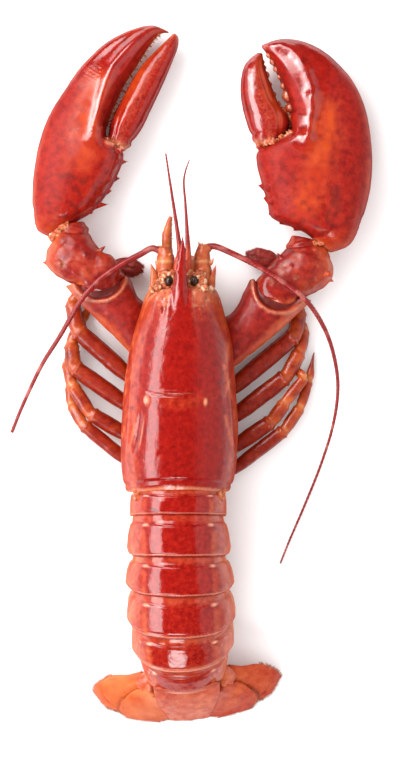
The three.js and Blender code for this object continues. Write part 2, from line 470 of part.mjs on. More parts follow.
// The claw arms. Each side differs: the left is the slim cutter and the right the broad crusher.
// Their rows are those of a level slab.
const ARMS = {
  left: {
    merus: [
      [-19.3, 54.2, -12.6, 74.3, 15, 5.5, 6],
      [-26, 61.3, -15.5, 77.7, 15.4, 7, 7.4],
      [-33.6, 68.9, -17.6, 79.8, 15.8, 8, 8],
      [-41.2, 76.4, -19.3, 83.6, 16, 8.6, 8.4],
      [-48.4, 84.6, -21.4, 88.4, 16, 8, 7.6],
    ],
    carpus: [
      [-42.7, 84, -31.2, 83.6, 16, 6, 6],
      [-50.4, 87.8, -22.7, 87.8, 16, 8.4, 8],
      [-55.6, 92, -27.7, 93.7, 15.6, 9, 8.2],
      [-56.4, 96.6, -32.8, 98.7, 15, 8.6, 8],
      [-54.8, 101.2, -36.1, 102.9, 14.4, 7.6, 7.6],
      [-52.6, 105.4, -38.4, 107.6, 14, 6.4, 6.6],
      [-50.2, 109.6, -40.4, 111.6, 13.6, 5, 5],
    ],
    carpusSpines: [[[-55, 94.4, 16], [-58.7, 94.3, 17], 1.8], [[-35.5, 97.6, 19], [-30.4, 101.8, 21], 1.7],
      [[-40, 96, 22], [-39.4, 98.6, 25.2], 1.3], [[-48, 100, 20], [-48.4, 103, 23], 1.2]],
    claw: [
      [-53.5, 104.6, -46.4, 110, 12.6, 4, 4.5, 0],
      [-60, 107.8, -42, 112.8, 12.4, 8, 8, 0],
      [-61.7, 113.6, -37.2, 115.8, 12.2, 10.6, 10.6, 0],
      [-62.3, 120.6, -33, 120.4, 12.2, 11.6, 12.2, 0.05],
      [-62, 129.4, -28.2, 127.6, 12.2, 12, 12.2, 0.1],
      [-60.6, 139, -24.4, 136, 12.2, 12, 12.2, 0.15],
      [-58.6, 147, -24.4, 141.6, 12.2, 11.4, 11.6, 0.3],
      [-56.3, 153.7, -30.9, 147.6, 12, 10.4, 10.4, 0.5],
      [-53.3, 160, -30, 154, 11.8, 9.8, 9.4, 0.5],
      [-49.6, 165.9, -27.6, 160, 11.6, 9.2, 8.6, 0.45],
      [-42, 176.8, -23.3, 169.3, 11.2, 8, 7.4, 0.4],
      [-31.5, 186.9, -16.4, 179.8, 10.8, 6.6, 6, 0.3],
      [-20.2, 193, -11.8, 186.7, 10.4, 5, 4.6, 0.2],
      [-11.8, 194.5, -8, 190.8, 10, 3.2, 3, 0],
      [-4.8, 191.9, -4.4, 191.2, 9.8, 0.6, 0.6, 0],
    ],
    thumb: [
      [-28.8, 142.2, -23.6, 141.2, 12.4, 3.4, 3.4, 0],
      [-30.4, 146.8, -20, 145.3, 12.4, 6.4, 6.2, 0],
      [-29.9, 151.6, -15.7, 151.6, 12.2, 7.4, 7, 0],
      [-27.4, 157.5, -12.2, 158.8, 12, 7.2, 6.8, 0],
      [-24, 164.2, -8.8, 165.9, 11.6, 6.8, 6.4, 0],
      [-20, 171.8, -5.5, 173.5, 11.2, 6, 5.6, 0],
      [-15.4, 178.3, -2.8, 180.2, 10.8, 5.2, 4.8, 0],
      [-10.4, 183.5, -1.1, 185.2, 10.4, 4.2, 3.8, 0],
      [-6.4, 187.3, -0.7, 189, 10, 3, 2.8, 0],
      [-3.2, 190.6, -2.2, 191.4, 9.8, 0.9, 0.9, 0],
    ],
    palmSpines: [[[-27.4, 136.2, 14], [-21, 137, 14.6], 2.2], [[-30.6, 128.6, 14], [-24, 130.2, 15], 2.2],
      [[-34, 122.6, 14], [-27.2, 125.2, 15], 2], [[-37.4, 118.4, 14], [-29.2, 118.9, 15], 2.2],
      [[-41, 116, 14], [-35.4, 115, 15], 1.9]],
  },
  right: {
    merus: [
      [20.2, 48.3, 17.6, 71, 15, 5.5, 6],
      [27.7, 54.2, 21, 72.7, 15.4, 7, 7.4],
      [37, 61.7, 24.4, 76.9, 15.8, 8, 8],
      [46.2, 69.7, 26.9, 82.3, 16, 8.6, 8.4],
      [55.4, 78.3, 29.4, 87.4, 16, 8, 7.6],
    ],
    carpus: [
      [47, 77, 35.4, 79, 16, 6, 6],
      [54, 80.4, 31.8, 85.3, 16, 8.6, 8],
      [62.4, 85.6, 35.7, 91.1, 16, 9.4, 8.4],
      [64.6, 91.1, 40.7, 95.8, 15.6, 9.2, 8.4],
      [63.6, 95.6, 43.7, 99.1, 15, 8.2, 8],
      [62.2, 99.2, 45.4, 102.4, 14.6, 7, 7],
      [59.4, 103, 47, 105.8, 14.4, 5.4, 5.4],
    ],
    carpusSpines: [[[59.6, 88, 17], [66, 85.8, 18], 2.1], [[44.4, 94, 19.4], [40.4, 98.4, 21.4], 1.8],
      [[47, 91, 22.6], [46.4, 94, 26], 1.4], [[56, 94, 21], [57, 97.2, 24], 1.3]],
    claw: [
      [63.4, 98.6, 56.4, 103.6, 14.4, 4.6, 5, 0],
      [70.6, 101.4, 52.6, 106.8, 14.4, 9, 9.4, 0],
      [74.3, 106.3, 46.4, 109.4, 14.4, 12, 12.4, 0],
      [77.3, 114.2, 38.4, 113.4, 14.4, 13.6, 14.2, 0],
      [79.4, 122.2, 36.6, 119.6, 14.4, 14.2, 14.4, 0],
      [80.6, 130.6, 34.1, 127.9, 14.4, 14.4, 14.4, 0.05],
      [80.8, 139.4, 32.1, 136.1, 14.4, 14, 14.2, 0.1],
      [80, 149.1, 33.6, 142.2, 14.2, 13.2, 13.6, 0.2],
      [78.8, 156.2, 44.6, 148.4, 14, 12.2, 12.4, 0.35],
      [76.6, 163, 46.2, 155, 13.8, 11.4, 11.4, 0.45],
      [72.7, 170.5, 44.7, 162.3, 13.4, 10.4, 10.2, 0.45],
      [67.6, 177, 42.6, 169.3, 13, 9.2, 8.8, 0.4],
      [61.3, 182.9, 40.1, 174.9, 12.4, 7.8, 7.4, 0.3],
      [52.9, 187.3, 37.8, 179.7, 12, 6.2, 5.8, 0.2],
      [43.7, 188.6, 35.7, 183.5, 11.6, 4.2, 4, 0.1],
      [34.6, 186.2, 34.2, 185.2, 11.2, 0.7, 0.7, 0],
    ],
    thumb: [
      [33.6, 141.4, 41.2, 143.2, 14, 4, 4, 0],
      [30.2, 147.4, 45.4, 149.3, 14, 8, 7.8, 0],
      [27.5, 154.6, 46, 155, 13.8, 9, 8.8, 0],
      [25.8, 162.1, 41.8, 160.9, 13.4, 9, 8.6, 0],
      [25.5, 170.1, 38.2, 169.3, 13, 8, 7.6, 0],
      [26.7, 176.4, 35.8, 176.4, 12.4, 6.6, 6.2, 0],
      [29.4, 180.4, 35, 180.4, 12, 4.6, 4.4, 0],
      [32.6, 182.6, 34.8, 182.4, 11.6, 1.8, 1.8, 0],
    ],
    palmSpines: [[[37.6, 124.8, 16], [31.6, 127.4, 17], 2.4], [[39, 119.4, 16], [34, 122, 17], 2.3],
      [[41.6, 114, 16], [36.2, 114.8, 17], 2.2], [[46, 111.4, 16], [41.2, 110.4, 17], 2],
      [[51.4, 109.4, 16], [46.4, 107.2, 17], 1.8]],
  },
};

// Blunt teeth along the biting edge of a finger, from the hinge to the tip. They run on the rows' inner edge.
function teeth(rows, [first, last, count, radius, reach, towards], grow = 0) {
  const edge = between(rows.slice(first, last + 1), count);
  return edge.slice(0, count).map(([ox, oy, ix, iy, z], k) => {
    const [bx, by, fx, fy] = towards > 0 ? [ix, iy, ox, oy] : [ox, oy, ix, iy];
    const long = Math.hypot(bx - fx, by - fy);
    const [ux, uy] = [(bx - fx) / long, (by - fy) / long];
    const size = radius * (1 - (0.55 * k) / count) * (k % 3 === 1 ? 1.25 : 1);
    const out = reach * size + grow;
    return spine([bx - 1.6 * ux, by - 1.6 * uy, z], [bx + out * ux, by + out * uy, z + 0.6], size + grow);
  });
}
const TEETH = {
  left: { claw: [8, 13, 9, 1.1, 0.9, 1], thumb: [2, 7, 9, 1, 0.8, -1] },
  right: { claw: [9, 14, 6, 1.9, 0.8, 1], thumb: [2, 6, 6, 1.6, 0.8, 1] },
};

const armTools = [];
for (const [side, name] of sideNames) {
  const arm = ARMS[name];
  const shapes = Object.fromEntries(["merus", "carpus", "claw", "thumb"].map((key) => [key, level(arm[key])]));
  const detail = { merus: { steps: 5, sides: 12 }, carpus: { steps: 7, sides: 14, square: 2.2 },
    claw: { steps: 15, sides: 14, square: 2.4 }, thumb: { steps: 8, sides: 12, square: 2.4 } };
  const shape = (key, grow = 0) => slab(shapes[key], { ...detail[key], grow });
  const carpusSpines = arm.carpusSpines.map((s) => spine(...s));
  const palmSpines = (grow = 0) => arm.palmSpines.map(([foot, tip, radius]) => spine(foot, tip, radius + grow));
  const teethOf = (key, grow = 0) => teeth(arm[key], TEETH[name][key], grow);

  place(`${name}_arm_merus`, cut(shape("merus"), carapaceTool, thoraxTool, shape("carpus", GAP)), clawRed);
  place(`${name}_arm_carpus`, fuse(shape("carpus"), ...carpusSpines), clawRed);
  place(`${name}_claw`, cut(fuse(shape("claw"), ...palmSpines(), ...teethOf("claw")), shape("carpus", GAP)), clawRed);
  const clawTool = fuse(shape("claw", GAP), ...palmSpines(GAP), ...teethOf("claw", GAP));
  place(`${name}_claw_thumb`, cut(fuse(shape("thumb"), ...teethOf("thumb")), clawTool), clawRed);
  armTools.push(...["merus", "carpus", "claw"].map((key) => shape(key, GAP)));
}

// The walking legs. Points: hip, knee, end of the carpus, end of the shin, tip. Half widths go down along the leg.
const LEGS = {
  left_leg_1: [[-22.4, 47.2, 7.6], [-43.6, 66, 7.8], [-45.6, 78, 4.8], [-29, 93.4, 4.4], [-15.2, 91.8, 6.6]],
  left_leg_2: [[-22.6, 34.5, 7.6], [-45, 50.4, 8], [-46, 60.4, 5.6], [-41.6, 70.4, 2.6], [-37, 78, 1.8]],
  left_leg_3: [[-22.8, 21.8, 7.6], [-38, 30.8, 8], [-45.8, 43, 7.2], [-48.2, 52.4, 3.8], [-42.6, 57, 1.8]],
  left_leg_4: [[-22.8, 11.2, 7.6], [-41.2, 26.2, 7.4], [-46, 34.8, 3.6], [-47, 42.6, 2], [-46.2, 48.6, 1.2]],
  right_leg_1: [[22.4, 41.8, 7.6], [48.6, 64, 7.8], [50.4, 74.6, 4.8], [41.8, 95, 4.4], [27.4, 97.8, 6.6]],
  right_leg_2: [[22.6, 29.4, 7.6], [45, 46.6, 7.8], [50.6, 57, 5.6], [52.6, 66.4, 2.8], [46.6, 74.4, 1.8]],
  right_leg_3: [[22.8, 16.8, 7.6], [38.8, 27.6, 8], [44.4, 35.6, 8.8], [52.6, 46, 7.8], [45, 52.6, 2.2]],
  right_leg_4: [[22.8, 7.4, 7.4], [44.4, 24, 7], [50.8, 33.6, 5], [54.6, 45, 3.6], [56.6, 56.4, 2]],
};
const LEG_HALF_WIDTHS = [3.1, 2.8, 2.4, 1.9, 0.6];
const LEG_GIRTHS = [1.2, 1.15, 1.05, 0.92]; // the front legs are the stoutest
const CHELA_HALF_WIDTH = 3.8; // the hairy pincer that ends the first leg of each side

function leg(name, points) {
  const girth = LEG_GIRTHS[name.at(-1) - 1];
  const mix = (p, q, f) => p.map((value, c) => value + (q[c] - value) * f);
  const parts = points.slice(1).map((end, k) => {
    const start = points[k];
    const [w0, w1] = [LEG_HALF_WIDTHS[k] * girth, LEG_HALF_WIDTHS[k + 1] * girth];
    if (k === 3 && name.endsWith("leg_1")) {
      const w = CHELA_HALF_WIDTH;
      return limb([[...start, 1.8, 1.6], [...mix(start, end, 0.3), w, 3], [...mix(start, end, 0.7), w, 2.8],
        [...end, 0.8, 0.7]], { steps: 4, sides: 6 });
    }
    return limb([[...mix(start, end, -0.04), w0 * 0.8, w0 * 0.62], [...mix(start, end, 0.22), w0, w0 * 0.82],
      [...mix(start, end, 0.8), w1 * 1.12, w1 * 0.95], [...mix(start, end, 1.03), w1 * 0.85, w1 * 0.7]],
    { steps: 3, sides: 6 });
  });
  return fuse(...parts);
}
let earlier = [];
for (const [name, points] of Object.entries(LEGS)) {
  const made = cut(leg(name, points), carapaceTool, thoraxTool, ...armTools, ...earlier);
  place(name, largest(made), limbOrange);
  earlier = [made];
}

// The biggest of what a cut leaves.
function largest(solid) {
  return solid.decompose().sort((a, b) => b.volume() - a.volume())[0];
}

export default lobster;
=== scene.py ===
import math

import bpy
import numpy as np
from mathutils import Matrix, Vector, noise


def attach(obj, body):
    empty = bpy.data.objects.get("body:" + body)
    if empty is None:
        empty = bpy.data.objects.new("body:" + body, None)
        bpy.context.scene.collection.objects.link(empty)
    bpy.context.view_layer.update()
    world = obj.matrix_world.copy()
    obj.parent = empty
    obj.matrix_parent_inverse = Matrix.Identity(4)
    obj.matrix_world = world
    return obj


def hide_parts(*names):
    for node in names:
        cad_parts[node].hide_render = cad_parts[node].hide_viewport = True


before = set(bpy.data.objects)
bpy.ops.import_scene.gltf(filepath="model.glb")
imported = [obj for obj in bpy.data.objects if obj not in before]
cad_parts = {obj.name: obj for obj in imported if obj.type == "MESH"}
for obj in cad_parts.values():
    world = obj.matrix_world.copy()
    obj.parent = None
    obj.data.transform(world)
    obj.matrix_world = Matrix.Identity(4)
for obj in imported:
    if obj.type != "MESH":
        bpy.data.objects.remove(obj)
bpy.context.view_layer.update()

# The viewpoint
# The lobster lies on a table and is seen from straight above, from far enough away to look almost flat. Sizes
# here are in millimetres from the rear edge of the carapace, on the midline, as the whole is laid out.
MM = 0.001
REAR_OF_CARAPACE = np.array([-4.1, -47.4, 0.0])
VIEW_CENTRE = (8.8, 44.3)
VIEW_HEIGHT = 320.5
EYE_LEVEL = 2000
SHOWN_LEVEL = 18


def in_metres(points):
    return (np.asarray(points, float) + REAR_OF_CARAPACE) * MM


camera_data = bpy.data.cameras.new("camera")
camera = bpy.data.objects.new("camera", camera_data)
bpy.context.scene.collection.objects.link(camera)
camera.location = in_metres((*VIEW_CENTRE, EYE_LEVEL))
camera_data.sensor_width = 36
camera_data.lens = 36 * (EYE_LEVEL - SHOWN_LEVEL) / VIEW_HEIGHT
camera_data.clip_end = 20
bpy.context.scene.camera = camera
bpy.context.scene.view_settings.view_transform = "Standard"

# The table and the studio
# A white table top under a broad ceiling of soft light. A long softbox, a shorter one at the claws and a
# weak low one stand on the left, a white wall on the right and a small round softbox beyond the tail. The
# shell mirrors these but not the ceiling, so its deep reds stay clear along the back.
TABLE_SIZE = 6.0
TABLE_DROP = 0.0002

half = TABLE_SIZE / 2
table_mesh = bpy.data.meshes.new("table")
table_mesh.from_pydata([(-half, -half, 0), (half, -half, 0), (half, half, 0), (-half, half, 0)], [],
                       [(0, 1, 2, 3)])
table = bpy.data.objects.new("table", table_mesh)
table.location.z = -TABLE_DROP
bpy.context.scene.collection.objects.link(table)
white = bpy.data.materials.new("white_table")
white.use_nodes = True
white_shader = white.node_tree.nodes["Principled BSDF"]
white_shader.inputs["Base Color"].default_value = (0.9, 0.89, 0.89, 1)
white_shader.inputs["Roughness"].default_value = 0.7
white_shader.inputs["Specular IOR Level"].default_value = 0.2
table_mesh.materials.append(white)


def softbox(name, place, target, width, length, radiance, mirrored=True, shape="RECTANGLE"):
    data = bpy.data.lights.new(name, "AREA")
    data.shape = shape
    data.size = width
    data.size_y = length
    data.energy = math.pi * radiance * width * length
    lamp = bpy.data.objects.new(name, data)
    lamp.location = place
    lamp.rotation_euler = (Vector(target) - Vector(place)).to_track_quat("-Z", "X").to_euler()
    lamp.visible_camera = False
    lamp.visible_glossy = mirrored
    bpy.context.scene.collection.objects.link(lamp)


softbox("ceiling", (0, 0, 2.4), (0, 0, 0), 3.6, 3.6, 2.05, mirrored=False)
softbox("long_softbox", (-0.7, 0.08, 0.65), (0, 0.08, 0.04), 0.42, 1.5, 7.6)
softbox("head_softbox", (-0.38, 0.56, 0.66), (0, 0.14, 0.02), 0.4, 0.66, 6.2)
softbox("low_left_softbox", (-0.95, 0.0, 0.26), (0, 0, 0.1), 0.5, 1.5, 0.9)
softbox("right_wall", (0.78, 0.0, 0.58), (0, 0, 0.58), 1.15, 1.9, 0.8)
softbox("tail_softbox", (-0.1, -0.76, 0.55), (0, -0.09, 0.02), 0.2, 0.36, 10, shape="ELLIPSE")

world = bpy.data.worlds.new("studio")
world.use_nodes = True
bpy.context.scene.world = world
world.node_tree.nodes["Background"].inputs["Color"].default_value = (0.07, 0.07, 0.072, 1)

# The carapace
# One shell of thin cooked chitin over the head and thorax, drawn out in front into a spined beak. A neck
# groove crosses it, and its rear edge is turned up into a rim.
CARAPACE_WIDEST_AT = 20
CARAPACE_ROWS = [  # y, left x, right x, top z, belly z
    (-2, -22.4, 20.6, 39, 14),
    (4, -24.1, 22.8, 41.5, 12.5),
    (13, -24.9, 23.9, 43, 11.8),
    (26, -24.6, 24.4, 44, 11.5),
    (39, -23.7, 23.5, 44, 11.5),
    (51, -22.3, 22.7, 43.5, 11.5),
    (62, -20.2, 21.4, 43, 12),
    (72, -17.2, 18.9, 41.5, 13),
    (79, -15, 16.9, 39.8, 14.2),
    (83, -13, 15, 38, 15.6),
]
BEAK_ROWS = [  # x, y, z, half width, half height
    (0.2, 72, 39.2, 4.6, 2.4),
    (0.2, 78, 38.2, 3.8, 2.8),
    (0.2, 84, 37.2, 3.0, 2.4),
    (0.5, 92, 37.2, 2.0, 1.7),
    (1.0, 99, 38.4, 1.3, 1.1),
    (1.3, 105.4, 40.2, 0.25, 0.25),
]
CARAPACE_GRAIN = 0.55
LEFT_PIT = (-13.8, 36.6)
RIGHT_KNOB = (10.6, 35.8)
RIGHT_FOLDS = [
    ((18.2, 51), (21.6, 37)), ((18.6, 38), (20.6, 45)), ((20.2, 60), (18.8, 50)), ((19, 30), (21.8, 18)),
]
# Dark brown for real stains, and also for painted shade in hollows and gaps.
STAIN_AND_SHADE_BROWN = (0.02, 0.008, 0.006)
WAVE_DEPTH = 0.8
PIT_DEPTH = 0.25


def flowing(rows, count):
    """Rows of numbers read as a smooth curve, in count steps."""
    rows = np.array(rows, float)
    t = np.linspace(0, len(rows) - 1, count + 1)
    i = np.minimum(t.astype(int), len(rows) - 2)
    f = (t - i)[:, None]
    a, b, c, d = (rows[np.clip(i + step, 0, len(rows) - 1)] for step in (-1, 0, 1, 2))
    return b + 0.5 * f * (c - a + f * (2 * a - 5 * b + 4 * c - d + f * (3 * (b - c) + d - a)))


def bulge(x, square):
    return np.sign(x) * np.abs(x) ** (2 / square)


def round_angles(sides):
    return (np.arange(sides) + 0.5) / sides * 2 * math.pi


def skin(rings):
    """A closed skin through rings of points, with a point in the middle of each end."""
    steps, sides, _ = rings.shape
    points = np.vstack([rings.reshape(-1, 3), rings[0].mean(0), rings[-1].mean(0)])
    s = np.arange(sides)
    after = (s + 1) % sides
    base = (np.arange(steps - 1) * sides)[:, None]
    quads = np.stack([base + s, base + after, base + after + sides, base + s + sides], -1).reshape(-1, 4)
    first, last = steps * sides, steps * sides + 1
    end = (steps - 1) * sides
    caps = np.vstack([
        np.stack([np.full(sides, first), after, s], -1),
        np.stack([np.full(sides, last), end + s, end + after], -1),
    ])
    a, b, c = points[quads[:, 0]], points[quads[:, 1]], points[quads[:, 2]]
    volume = np.einsum("ij,ij->", a - points.mean(0), np.cross(b - a, c - a))
    if volume < 0:
        quads, caps = quads[:, ::-1], caps[:, ::-1]
    return points, quads, caps


def blunt_ends(rings, lip):
    """Rounds the hard corner at both ends of a run of rings."""
    def corner(outer, inner):
        middle = outer.mean(0)
        outward = middle - inner.mean(0)
        outward /= np.linalg.norm(outward)
        arm = outer - middle
        reach = np.linalg.norm(arm, axis=1, keepdims=True)
        return [outer - arm / reach * lip, outer - arm / reach * lip * 0.3 - outward * lip * 0.3,
                outer - outward * lip]
    front = corner(rings[0], rings[1])
    back = corner(rings[-1], rings[-2])[::-1]
    return np.array([*front, *rings[1:-1], *back])


def limb(rows, steps=40, sides=24):
    """A round limb. Each row: x, y, z, half width, half height."""
    sampled = flowing(rows, steps)
    centres = sampled[:, :3]
    along = np.gradient(centres, axis=0)
    along /= np.linalg.norm(along, axis=1, keepdims=True)
    side = np.stack([along[:, 1], -along[:, 0], np.zeros(len(along))], -1)
    side /= np.linalg.norm(side, axis=1, keepdims=True)
    up = np.cross(side, along)
    angle = round_angles(sides)[None, :, None]
    width, height = sampled[:, 3][:, None, None], sampled[:, 4][:, None, None]
    rings = centres[:, None] + side[:, None] * width * np.cos(angle) + up[:, None] * height * np.sin(angle)
    return skin(rings)


def spine(foot, tip, radius, steps=8):
    """A thorn that thins in a hollow curve from its foot, which is sunk in the shell, to its tip."""
    t = np.linspace(0, 1, steps + 1)[:, None]
    centres = np.array(foot) + (np.array(tip, float) - foot) * t
    axis = (np.array(tip, float) - foot) / np.linalg.norm(np.array(tip, float) - foot)
    side = np.cross(axis, (0.3, 0.2, 1.0))
    side /= np.linalg.norm(side)
    other = np.cross(axis, side)
    angle = round_angles(10)[None, :, None]
    radii = (radius * (1 - t) ** 1.15 + 0.03)[:, :, None]
    return skin(centres[:, None] + radii * (side * np.cos(angle) + other * np.sin(angle)))


def barrel(rows, steps, sides):
    sampled = flowing(rows, steps)
    angle = round_angles(sides)
    rings = np.empty((steps + 1, sides, 3))
    c, h = np.cos(angle), np.sin(angle)
    for ring, (y, left, right, top, belly) in zip(rings, sampled):
        reach = np.where(h > 0, top - CARAPACE_WIDEST_AT, CARAPACE_WIDEST_AT - belly)
        tuck = np.where(h < 0, 1 - 0.2 * h * h, 1)
        ring[:, 0] = (left + right) / 2 + (right - left) / 2 * bulge(c, 2.2) * tuck
        ring[:, 1] = y
        ring[:, 2] = CARAPACE_WIDEST_AT + reach * bulge(h, 2.2)
    return skin(blunt_ends(rings, 0.8))


def mesh_of(name, shapes):
    """Shapes in millimetres become one smooth-shaded object in metres."""
    points = np.vstack([shape[0] for shape in shapes])
    starts = np.cumsum([0] + [len(shape[0]) for shape in shapes])
    faces = []
    for start, (_, *face_sets) in zip(starts, shapes):
        faces.extend((face_set + start) for face_set in face_sets if len(face_set))
    loops = np.concatenate([face_set.reshape(-1) for face_set in faces]).astype(np.int32)
    sizes = np.concatenate([np.full(len(face_set), face_set.shape[1]) for face_set in faces])
    mesh = bpy.data.meshes.new(name)
    mesh.vertices.add(len(points))
    mesh.vertices.foreach_set("co", in_metres(points).astype(np.float32).reshape(-1))
    mesh.loops.add(len(loops))
    mesh.loops.foreach_set("vertex_index", loops)
    mesh.polygons.add(len(sizes))
    mesh.polygons.foreach_set("loop_start", (np.cumsum(sizes) - sizes).astype(np.int32))
    mesh.update(calc_edges=True)
    mesh.validate()
    mesh.shade_smooth()
    made = bpy.data.objects.new(name, mesh)
    bpy.context.scene.collection.objects.link(made)
    return made


def fused(name, shapes, grain, softening=3):
    """Shapes that meet are grown together into one skin, as chitin is, with a grain in millimetres."""
    made = mesh_of(name, shapes)
    melt = made.modifiers.new("melt", "REMESH")
    melt.mode = "VOXEL"
    melt.voxel_size = grain * MM
    soften = made.modifiers.new("soften", "SMOOTH")
    soften.factor = 0.5
    soften.iterations = softening
    graph = bpy.context.evaluated_depsgraph_get()
    grown = bpy.data.meshes.new_from_object(made.evaluated_get(graph), depsgraph=graph)
    rough = made.data
    made.modifiers.clear()
    made.data = grown
    bpy.data.meshes.remove(rough)
    grown.name = name
    grown.shade_smooth()
    return made


def points_of(made):
    flat = np.empty(len(made.data.vertices) * 3, np.float32)
    made.data.vertices.foreach_get("co", flat)
    return flat.reshape(-1, 3).astype(float) / MM - REAR_OF_CARAPACE


def normals_of(made):
    flat = np.empty(len(made.data.vertices) * 3, np.float32)
    made.data.vertex_normals.foreach_get("vector", flat)
    return flat.reshape(-1, 3).astype(float)


def move_to(made, points):
    made.data.vertices.foreach_set("co", in_metres(points).astype(np.float32).reshape(-1))
    made.data.update()


def press(made, height):
    """Moves every point out along its normal by height, a list of millimetres."""
    move_to(made, points_of(made) + normals_of(made) * np.asarray(height)[:, None])


def wobble(points, size, seed):
    """Smooth random numbers from -1 to 1 whose hills are about size millimetres across."""
    scaled = points / size + seed * 17.3
    return np.array([noise.noise(Vector(p)) for p in scaled])


def ridge(distance, width):
    return np.exp(-(distance / width) ** 2)


def ease(value, start, end):
    t = np.clip((value - start) / (end - start), 0, 1)
    return t * t * (3 - 2 * t)


def from_line(points, a, b):
    """Distance in plan from each point to the stretch from a to b, and how far along it that is, 0 to 1."""
    a, b = np.array(a, float), np.array(b, float)
    p = points[:, :2] - a
    along = np.clip(p @ (b - a) / ((b - a) @ (b - a)), 0, 1)
    return np.linalg.norm(p - along[:, None] * (b - a), axis=1), along


def spot(points, x, y, size, squash=1.0):
    """A round spot in plan, 1 in its middle, drawn out along Y by a squash below 1."""
    return ridge(np.hypot(points[:, 0] - x, (points[:, 1] - y) * squash), size)


def paint(made, orange=0.0, pale=0.0, stain_and_shade=0.0, gleam=0.0, matt=0.0):
    """Keeps the shell's colours, painted highlights and shade among them, and its polish as layers, one
    number a point, 0 to 1.
    """
    steep = 1 - ease(normals_of(made)[:, 2], 0.2, 0.7)
    dull = 0.5 + 0.5 * np.maximum(steep, matt) - 0.5 * gleam * (1 - steep)
    for name, values in (("orange", orange), ("pale", pale), ("stain_and_shade", stain_and_shade), ("dull", dull)):
        layer = made.data.attributes.new(name, "FLOAT", "POINT")
        values = np.broadcast_to(np.clip(values, 0, 1), len(steep))
        layer.data.foreach_set("value", values.astype(np.float32))


def shell_finish(name, reds, orange, pale, roughness, blotch, pitting=0.25):
    """Cooked shell: blotched reds, orange, pale with painted highlights, stains and painted shade by the
    layers, and a finely pitted gloss.
    """
    finish = bpy.data.materials.new(name)
    finish.use_nodes = True
    nodes, links = finish.node_tree.nodes, finish.node_tree.links
    shader = nodes["Principled BSDF"]

    def node(kind, inputs, **settings):
        """A shader node, with each input set to a number or linked to another node's output."""
        made = nodes.new(f"ShaderNode{kind}")
        for setting, value in settings.items():
            setattr(made, setting, value)
        for socket, value in inputs.items():
            if isinstance(value, bpy.types.NodeSocket):
                links.new(value, made.inputs[socket])
            else:
                made.inputs[socket].default_value = value
        return made

    place = node("TexCoord", {})

    def speckle(size, detail, rough=0.55):
        return node("TexNoise", {"Scale": 1 / (size * MM), "Detail": detail, "Roughness": rough,
                                 "Vector": place.outputs["Object"]}).outputs["Fac"]

    def ramp(source, stops):
        made = node("ValToRGB", {"Fac": source})
        places = made.color_ramp.elements
        places[0].position, places[-1].position = stops[0][0], stops[-1][0]
        places[0].color, places[-1].color = (*stops[0][1], 1), (*stops[-1][1], 1)
        for position, colour in stops[1:-1]:
            places.new(position).color = (*colour, 1)
        return made.outputs["Color"]

    def mixed(share, first, second):
        return node("Mix", {"Factor": share, "A": first, "B": second}, data_type="RGBA").outputs["Result"]

    def layer(name):
        return node("Attribute", {}, attribute_name=name).outputs["Fac"]

    def amount(name, cloud, break_up):
        """A layer whose edge is broken up by a cloud of speckles."""
        read = layer(name)
        shifted = node("Math", {0: cloud, 1: break_up, 2: -break_up / 2}, operation="MULTIPLY_ADD")
        summed = node("Math", {0: read, 1: shifted.outputs[0]}, operation="ADD")
        eased = node("MapRange", {"From Max": 0.25, "Value": read})
        held = node("Math", {0: summed.outputs[0], 1: eased.outputs[0]}, operation="MULTIPLY",
                    use_clamp=True)
        return held.outputs[0]

    blotches = speckle(blotch, 4, 0.6)
    grain = speckle(blotch * 0.3, 3)
    broad = speckle(blotch * 4, 2)
    colour = mixed(0.3, ramp(blotches, [(0.3, reds[0]), (0.48, reds[1]), (0.7, reds[2])]),
                   ramp(grain, [(0.3, reds[0]), (0.7, reds[2])]))
    colour = mixed(amount("orange", blotches, 0.9), colour,
                   ramp(broad, [(0.35, orange[0]), (0.65, orange[1])]))
    colour = mixed(amount("pale", grain, 0.7), colour, (*pale, 1))
    colour = mixed(amount("stain_and_shade", grain, 0.3), colour, (*STAIN_AND_SHADE_BROWN, 1))
    links.new(colour, shader.inputs["Base Color"])
    dull = layer("dull")
    for socket, start, polished, matt in (("Roughness", 0.5, roughness, 0.6),
                                          ("Specular IOR Level", 0, 1.0, 0.05)):
        worn = node("MapRange", {"From Min": start, "To Min": polished, "To Max": matt, "Value": dull})
        links.new(worn.outputs[0], shader.inputs[socket])
    waves = node("Bump", {"Strength": pitting, "Distance": WAVE_DEPTH * MM, "Height": speckle(6, 2)})
    pits = node("Bump", {"Strength": pitting, "Distance": PIT_DEPTH * MM, "Height": speckle(1.1, 3),
                         "Normal": waves.outputs["Normal"]})
    links.new(pits.outputs["Normal"], shader.inputs["Normal"])
    return finish


def finished(made, finish, slot, *nodes):
    made.data.materials.clear()
    made.data.materials.append(finish)
    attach(made, "root")
    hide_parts(*nodes)
    return made


body_red = shell_finish("carapace_shell",
                        reds=[(0.12, 0.0015, 0.001), (0.205, 0.003, 0.002), (0.28, 0.008, 0.003)],
                        orange=[(0.34, 0.026, 0.007), (0.46, 0.070, 0.020)], pale=(0.66, 0.27, 0.14),
                        roughness=0.13, blotch=2.2)
beak_thorns = [spine((0.5 + side * 0.6, y - 1.6, 37.4), (0.6 + side * (reach + 0.9), y + 2, 38.8), 1.0)
               for side in (-1, 1) for y, reach in ((89.5, 2.6), (93.5, 2.0), (97.5, 1.4))]
eye_thorns = [spine((x, y - 1.5, z), (x, y + 2, z + 2), 1.0)
              for x, y, z in ((-7.6, 79, 37), (-7.7, 74.4, 38.8), (7.4, 78, 37.4), (8.7, 74, 38.8))]
carapace = fused("carapace",
                 [barrel(CARAPACE_ROWS, 120, 120), limb(BEAK_ROWS, 60, 28), *beak_thorns, *eye_thorns],
                 CARAPACE_GRAIN, 4)
p = points_of(carapace)
x, y, z = p.T
above = ease(z, 18, 26)
groove_y = 38.4 + 0.009 * (x + 1.5) ** 2 + 9 * np.maximum(np.abs(x) / 21 - 0.55, 0) ** 1.5
off = y - groove_y
